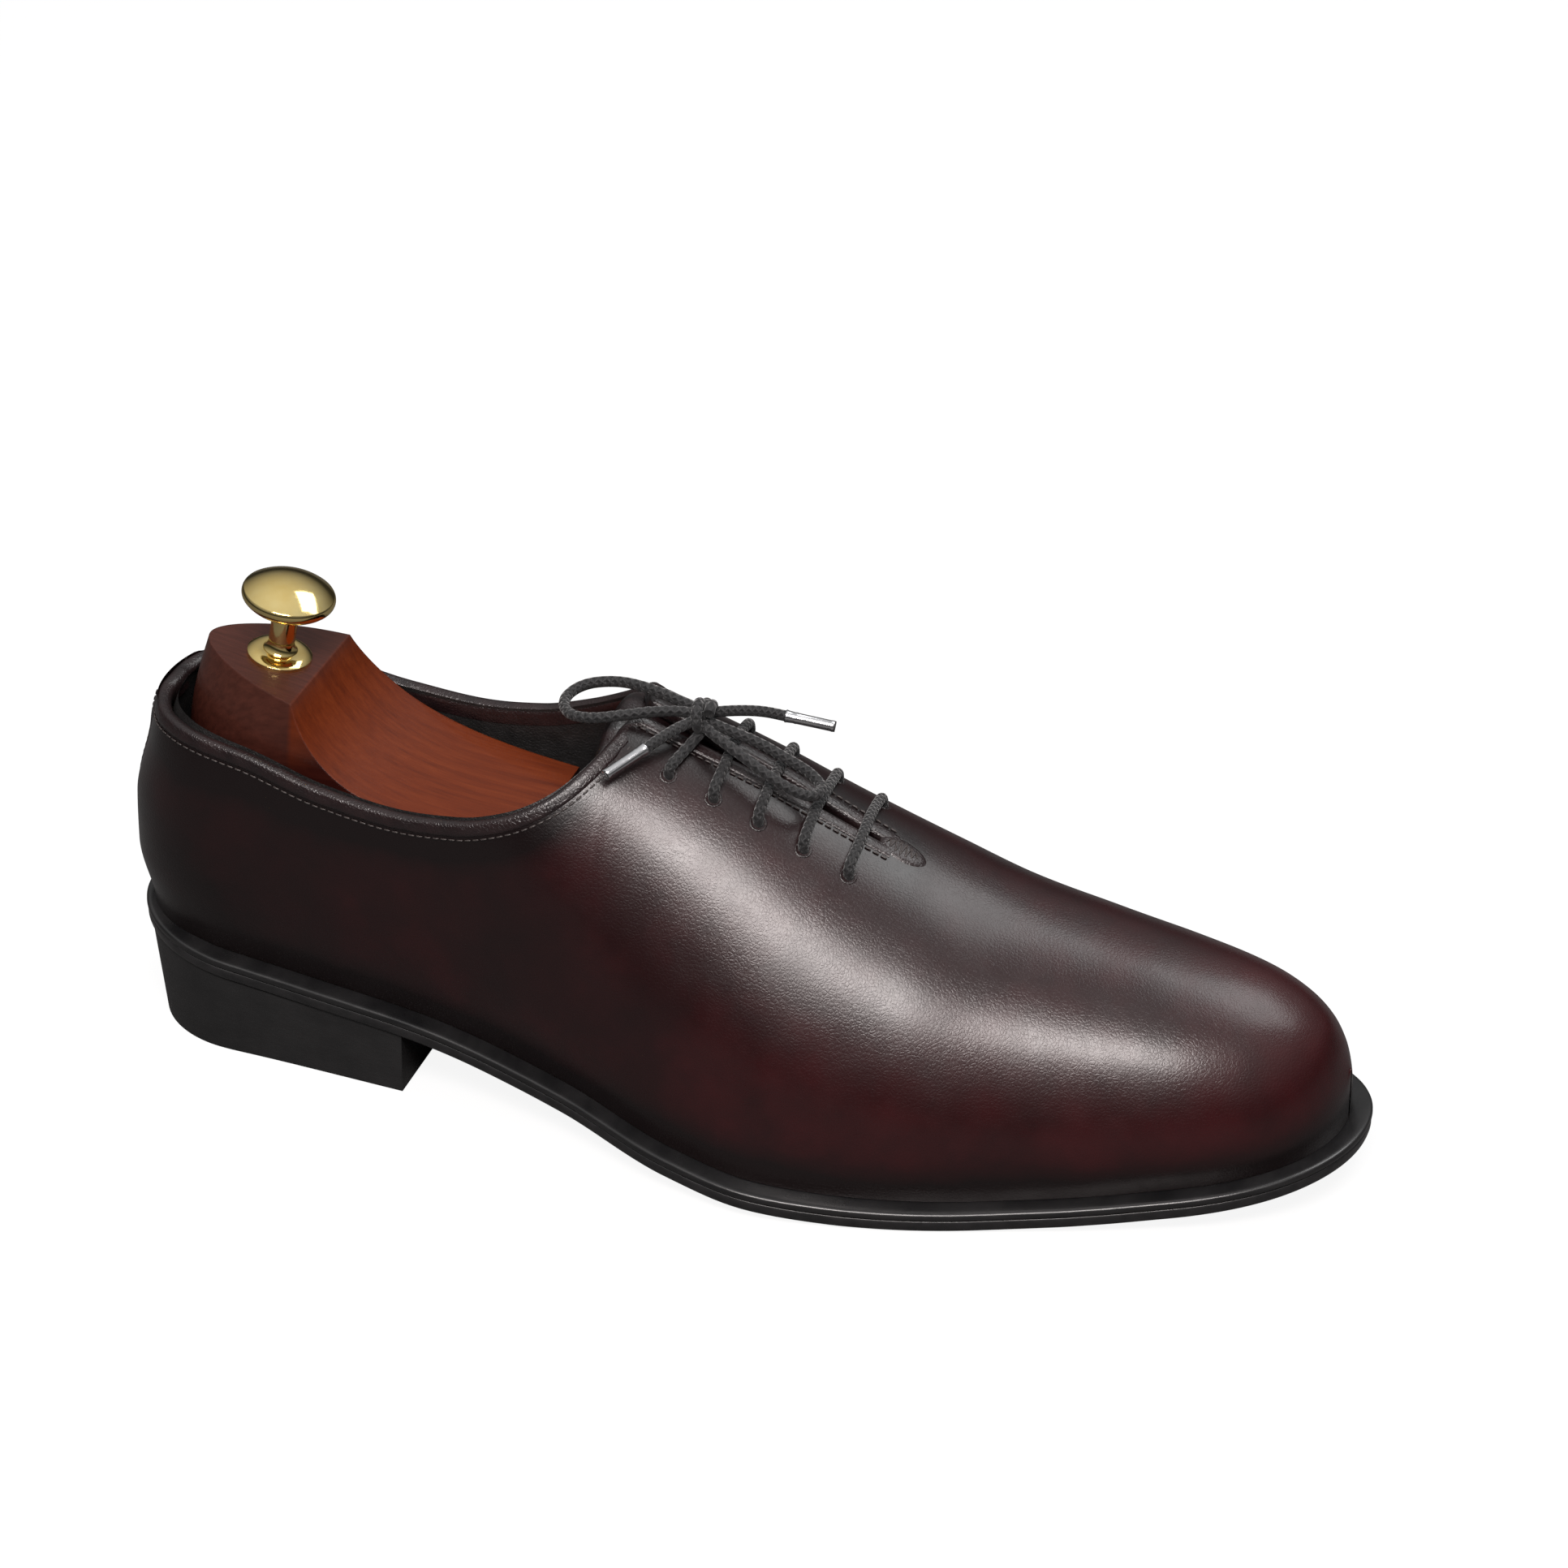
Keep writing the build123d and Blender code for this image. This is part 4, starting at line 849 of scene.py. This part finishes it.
def even_path(path, outward, down, step):
    """The same edge at even steps, with its directions smoothed and squared to it."""
    run = distances(path)
    places = np.linspace(0, run[-1], int(run[-1] / step) + 1)
    even = [np.stack([np.interp(places, run, values[:, k]) for k in range(3)], axis=1)
            for values in (path, outward, down)]
    for _ in range(3):
        for values in even:
            values[1:-1] = (values[:-2] + 2 * values[1:-1] + values[2:]) / 4
    along = np.gradient(even[0], axis=0)
    along /= np.linalg.norm(along, axis=1, keepdims=True)
    down_even = even[2] - along * np.sum(even[2] * along, axis=1, keepdims=True)
    down_even /= np.linalg.norm(down_even, axis=1, keepdims=True)
    out_even = np.cross(along, down_even)
    flip = np.sign(np.sum(out_even * even[1], axis=1, keepdims=True))
    out_even = out_even * np.where(flip == 0, 1, flip)
    return even[0], out_even, down_even


path, outward, down = even_path(*edge_path(), 0.8)
ROLL = [
    (0.02, 3.1), (0.28, 2.9), (0.40, 2.3), (0.42, 1.3), (0.38, 0.5), (0.15, 0.0), (-0.35, -0.3),
    (-1.1, -0.42), (-1.9, -0.32), (-2.7, -0.05), (-3.2, 0.6), (-3.35, 1.5), (-3.4, 4.2)]
roll = swept_strip("topline_roll", path, outward, down, ROLL, DARK)
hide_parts("topline_binding")


# -- stitches --
def stitch_row(path, outward, lift, radius, pitch=2.1, gap=0.5):
    """Vertices and faces of a row of rounded stitches laid along a path."""
    run = distances(path)
    count = int(run[-1] / pitch)
    vertices, faces = [], []
    shape = [(-0.5, 0.05, 0.55), (-0.36, 0.55, 0.95), (0.0, 0.8, 1.0), (0.36, 0.55, 0.95), (0.5, 0.05, 0.55)]
    for k in range(count):
        middle = (k + 0.5) * pitch
        spots = [np.interp(middle + t * (pitch - gap), run, path[:, c])
                 for t, _, _ in shape for c in range(3)]
        spots = np.array(spots).reshape(-1, 3)
        out = np.array([np.interp(middle, run, outward[:, c]) for c in range(3)])
        direction = spots[-1] - spots[0]
        across = np.cross(direction, out)
        across /= max(np.linalg.norm(across), 1e-9)
        base = len(vertices)
        for spot, (_, rise, width) in zip(spots, shape):
            for turn in np.linspace(0, 2 * np.pi, 7)[:-1]:
                upward = lift + radius * (rise + 0.8 * np.sin(turn))
                vertices.append(spot + (across * np.cos(turn) * radius * width + out * upward))
        for ring in range(len(shape) - 1):
            for side in range(6):
                a = base + ring * 6 + side
                b = base + ring * 6 + (side + 1) % 6
                faces.append((a, b, b + 6, a + 6))
        faces.append(tuple(base + side for side in reversed(range(6))))
        faces.append(tuple(base + (len(shape) - 1) * 6 + side for side in range(6)))
    return vertices, faces


def join_rows(name, rows, material):
    """Several rows as one piece."""
    vertices, faces = [], []
    for row_vertices, row_faces in rows:
        faces += [tuple(i + len(vertices) for i in face) for face in row_faces]
        vertices += row_vertices
    piece = new_piece(name, row_array(np.array(vertices)), faces, material)
    return piece


topline_row = stitch_row(path + down * 3.9, outward, 0.02, 0.24)
join_rows("topline_stitches", [topline_row], THREAD)

# -- back strip --
STRIP_HALF = 6.5
STRIP_FOOT, STRIP_TOP = 30.8, 86.6
STRIP_COLUMNS, STRIP_ROWS = 23, 60


def back_station(side, height):
    """Station of the heel's back at a side distance and height."""
    low, high = 2.41, 25.0
    for _ in range(40):
        middle = (low + high) / 2
        sides, heights = section(middle, 0.0, 120)
        reach = np.interp(height, heights[120:][::-1], sides[120:][::-1]) if height < heights.max() else 0
        if reach > abs(side):
            high = middle
        else:
            low = middle
    return high + float(bulge(high, height))


def strip_flare(height):
    """How much wider each side of the strip is where it nears the topline."""
    return 8.0 * float(smoothstep(64, 88, height)) ** 1.5


def strip_grid():
    """Points and outward directions over the back strip."""
    across = np.linspace(-1, 1, STRIP_COLUMNS)
    levels = np.linspace(STRIP_FOOT, STRIP_TOP, STRIP_ROWS)
    points = np.zeros((len(across), len(levels), 3))
    for i, a in enumerate(across):
        for j, z in enumerate(levels):
            half = STRIP_HALF * (0.62 + 0.38 * math.sin(math.pi * (z - 26) / 72)) + strip_flare(z)
            points[i, j] = (back_station(a * half, z), a * half, z)
    normals = normals_of(points)
    if normals[:, :, 0].mean() > 0:
        normals = -normals
    border = np.minimum(1, (1 - np.abs(across)) / 0.16)[:, None, None]
    return points + normals * (0.75 * np.sqrt(border) - 0.06), normals


strip_points, strip_normals = strip_grid()
strip = grid_piece("back_seam_strip", strip_points, DARK)
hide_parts("back_strip")
strip_rows = [stitch_row(strip_points[i, ::-1], strip_normals[i, ::-1], -0.05, 0.22) for i in (4, 18)]
join_rows("back_strip_stitches", strip_rows, THREAD)


# -- tongue --
TONGUE_DEPTH, TONGUE_THICKNESS = 4.9, 1.8


def tongue_sides():
    """The tongue's two faces, as grids that meet at a rounded edge."""
    middle = np.array([[over_leather(s, w * (15.5 + 1.5 * (s - 118) / 80), -TONGUE_DEPTH)
                        for w in np.linspace(-1, 1, 41)] for s in np.linspace(121.0, 196.0, 66)])
    normals = normals_of(middle)
    if normals[:, :, 2].mean() < 0:
        normals = -normals
    columns, rows = (np.minimum(np.arange(n), np.arange(n)[::-1]) for n in middle.shape[:2])
    edge = np.minimum(columns[:, None], rows[None, :])
    rise = TONGUE_THICKNESS / 2 * np.sqrt(1 - (1 - np.minimum(edge / 2.0, 1)) ** 2)[:, :, None]
    return middle + normals * rise, middle - normals * rise


tongue = leather_skin("tongue_leather", tongue_sides(), DARK)
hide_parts("tongue", "tongue_lining")

# -- leaf at the slit's end --
LEAF = (191.2, 0.2)
LEAF_LONG, LEAF_WIDE = 5.6, 3.3
LEAF_AROUND, LEAF_RINGS = 41, 9


def leaf_grid():
    """Points over the low domed leaf, spoke by spoke."""
    points = np.zeros((LEAF_AROUND, LEAF_RINGS, 3))
    for i, turn in enumerate(np.linspace(0, 2 * math.pi, LEAF_AROUND)):
        for j, r in enumerate(np.linspace(0.02, 1, LEAF_RINGS)):
            place = (LEAF[0] + LEAF_LONG * r * math.cos(turn), LEAF[1] + LEAF_WIDE * r * math.sin(turn))
            rise = 0.75 * math.sqrt(1 - (j / (LEAF_RINGS - 1)) ** 4) - 0.1
            points[i, j] = over_leather(*place, rise)
    return points


leaf = grid_piece("slit_end_leaf", leaf_grid(), DARK)
weld(leaf)
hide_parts("slit_leaf")


def on_leather(places, lift=0.0):
    """Points over the leather and the upward directions there."""
    points = np.array([over_leather(s, y, lift) for s, y in places])
    outs = []
    for s, y in places:
        slope_s = (skin_height(s + 0.5, y) - skin_height(s - 0.5, y))
        slope_y = (skin_height(s, y + 0.5) - skin_height(s, y - 0.5))
        out = np.array([-slope_s, -slope_y, 1.0])
        outs.append(out / np.linalg.norm(out))
    return points, np.array(outs)


ZIGZAGS = 12
zigzag = [(187.2 + 0.62 * k, LEAF[1] + (2.1 if k % 2 else -2.1) * math.sin(math.pi * (k + 1.2) / 14.4))
          for k in range(ZIGZAGS + 1)]
zig_points, zig_out = on_leather(zigzag, 0.62)
zig_rows = []
for k in range(ZIGZAGS):
    length = np.linalg.norm(zig_points[k + 1] - zig_points[k])
    zig_rows.append(stitch_row(zig_points[k:k + 2], zig_out[k:k + 2], 0.0, 0.2, length * 0.999, 0.05))
facing_rows = []
for side in (-1, 1):
    line = [(s, side * (slit_half(s) + 1.9)) for s in np.linspace(128.5, SLIT_END - 2, 60)]
    facing_rows.append(stitch_row(*on_leather(line), 0.0, 0.22))
join_rows("facing_stitches", facing_rows + zig_rows, THREAD)


# -- eyelet rims --
def eyelet_rims():
    """The dark pressed rims of the punched eyelets."""
    vertices, faces = [], []
    ring = [(1.15, -1.2), (1.3, -0.25), (1.55, 0.06), (1.85, 0.12), (2.1, 0.05), (2.25, -0.12)]
    for row in EYELET_ROWS:
        for side in (-1, 1):
            points, outs = on_leather([(row, side * EYELET_SIDE)])
            centre, out = Vector(points[0]), Vector(outs[0])
            first = Vector((1, 0, 0)) - out * out.x
            first.normalize()
            faces += grid_faces(24, len(ring), len(vertices), closed=True)
            vertices += [tuple(point) for point in turned(centre, out, first, ring, 24)]
    return vertices, faces


join_rows("eyelet_rims", [eyelet_rims()], DARK)


# -- welt and sole --
def plan_ring(count=220):
    """Sole outline with inward directions, lateral side first."""
    turn = np.pi * (np.arange(2 * count) + 0.5) / count
    station = LENGTH / 2 * (1 - np.cos(turn))
    side = np.where(turn < np.pi, sole_side(station, -1), sole_side(station, 1))
    ring = np.stack([station, side], axis=1)
    step = np.roll(ring, -1, axis=0) - np.roll(ring, 1, axis=0)
    step /= np.linalg.norm(step, axis=1, keepdims=True)
    inward = np.stack([-step[:, 1], step[:, 0]], axis=1)
    return ring, inward


RING, INWARD = plan_ring()


def ring_points(profile):
    """A profile of (inset, height above the sole's top) carried round the sole's outline."""
    points = np.zeros((len(RING), len(profile), 3))
    for j, (inset, rise) in enumerate(profile):
        moved = RING + INWARD * inset
        points[:, j, :2] = moved
        points[:, j, 2] = seat(moved[:, 0]) + rise
    return points


WELT = [
    (8.0, -0.2), (6.0, -0.1), (5.2, 0.0), (4.0, 0.06), (2.2, 0.08), (1.2, 0.05), (0.6, -0.05),
    (0.22, -0.28), (0.03, -0.7), (0.0, -1.3), (0.12, -1.75), (0.5, -2.0), (3.0, -2.05)]
welt = grid_piece("welt_strip", ring_points(WELT), EDGE, closed=True)
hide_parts("welt")

SOLE_THICKNESS = 5.0
SOLE_EDGE = [
    (3.0, -2.0), (0.5, -2.02), (0.28, -2.2), (0.2, -2.7), (0.22, -4.0), (0.4, -4.6), (0.9, -4.93),
    (1.7, -5.0), (3.2, -5.0)]


def sole_piece():
    """Sole edge and bottom in one."""
    edge = ring_points(SOLE_EDGE)
    count = len(RING)
    vertices = list(edge.reshape(-1, 3))
    faces = grid_faces(count, len(SOLE_EDGE), closed=True)
    half = count // 2
    across = 24
    base = len(vertices)
    for k in range(half):
        a, b = edge[k, -1], edge[count - 1 - k, -1]
        for j in range(across + 1):
            spot = a + (b - a) * j / across
            vertices.append(np.array([spot[0], spot[1], seat(spot[0]) - SOLE_THICKNESS]))
    faces += grid_faces(half, across + 1, base)
    return vertices, faces


sole_vertices, sole_faces = sole_piece()
sole = new_piece("sole_edge_and_bottom", row_array(np.array(sole_vertices)), sole_faces, SOLE)
weld(sole)
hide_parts("outsole")


# -- spring of the tree --
TREE_SIDE, TREE_HEIGHT = -3.0, 41.0
SPRING_BACK, SPRING_FRONT = 226.8, 249.2


def coil_spring(pitch=3.9, radius=4.1, wire=0.5, steps=40, around=10):
    """Grid of points round a wire wound between the tube's end and the end of its bore."""
    turns = (SPRING_FRONT - SPRING_BACK) / pitch
    path = np.linspace(0, 2 * np.pi * turns, int(turns * steps))[:, None]
    ring = np.linspace(0, 2 * np.pi, around + 1)[None, :]
    reach = radius + wire * np.cos(ring)
    station = SPRING_BACK + pitch * path / (2 * np.pi) + wire * np.sin(ring)
    return np.stack([station, TREE_SIDE + reach * np.cos(path), TREE_HEIGHT + reach * np.sin(path)], axis=2)


coil = grid_piece("tree_coil", coil_spring(), STEEL, "tree_link")
weld(coil)
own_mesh(coil)
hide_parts("tree_spring")

# -- materials of the CAD nodes that stay --
KEPT = ((HEEL, ("heel_top_piece", "heel_lift_lower", "heel_lift_upper")),
        (LINING, ("insole", "heel_pad")), (BOARD, ("heel_counter", "toe_puff", "eyelet_stays")),
        (WOVEN, ("interlining",)), (CORK, ("cork_filler", "bottom_filler")),
        (STEEL, ("shank", "heel_nails", "tree_tube", "tree_hinge_fork", "tree_hinge_pin",
                 "tree_hinge_tang", "knob_stud")),
        (WOOD, ("tree_fore_block", "tree_heel_block")),
        (BRASS, ("tree_bush", "tang_screws", "knob_rose", "tree_knob")))
for material, names in KEPT:
    for name in names:
        node_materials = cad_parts[name].data.materials
        node_materials.clear()
        node_materials.append(material)

# -- floor and light --
floor_mesh = bpy.data.meshes.new("floor")
FLOOR = 6
floor_corners = [(-FLOOR, -FLOOR, 0), (FLOOR, -FLOOR, 0), (FLOOR, FLOOR, 0), (-FLOOR, FLOOR, 0)]
floor_mesh.from_pydata(floor_corners, [], [(0, 1, 2, 3)])
floor = put("floor", floor_mesh)
paper = Nodes("paper")
seen = paper.add("ShaderNodeLightPath").outputs["Is Camera Ray"]
paper.link(paper.math("MULTIPLY", seen, 0.90), paper.shader.inputs["Emission Strength"])
grey = paper.mix(paper.noise(3.0), (0.09, 0.09, 0.09), (0.10, 0.10, 0.10))
floor_mesh.materials.append(paper.finish(grey, 0.9, Emission_Color=(1, 1, 1)))


def softbox(name, place, aim, width, height, power, colour=(1, 1, 1)):
    """A rectangular light at a place in metres that points at another."""
    data = bpy.data.lights.new(name, "AREA")
    data.color = colour
    data.shape = "RECTANGLE"
    data.size = width
    data.size_y = height
    data.energy = power
    light = put(name, data)
    light.location = place
    light.rotation_euler = (Vector(aim) - Vector(place)).to_track_quat("-Z", "Y").to_euler()


KEY_COLOUR = (1.0, 0.93, 0.91)
softbox("key", (0.15, -0.80, 1.08), (0.03, 0, 0.05), 0.75, 0.35, 19, KEY_COLOUR)
softbox("over", (0.60, 0.60, 1.3), (0.05, 0, 0.05), 0.9, 0.6, 7)
world = bpy.data.worlds.new("studio")
world.use_nodes = True
sky = world.node_tree.nodes
rise = sky.new("ShaderNodeSeparateXYZ")
fade = sky.new("ShaderNodeMapRange")
for name, value in (("From Min", 0.15), ("To Min", 0.025), ("To Max", 0.7)):
    fade.inputs[name].default_value = value
world.node_tree.links.new(sky.new("ShaderNodeTexCoord").outputs["Generated"], rise.inputs[0])
world.node_tree.links.new(rise.outputs["Z"], fade.inputs["Value"])
world.node_tree.links.new(fade.outputs["Result"], sky["Background"].inputs["Strength"])
sky["Background"].inputs["Color"].default_value = (1, 1, 1, 1)
bpy.context.scene.world = world
bpy.context.scene.view_settings.view_transform = "Standard"
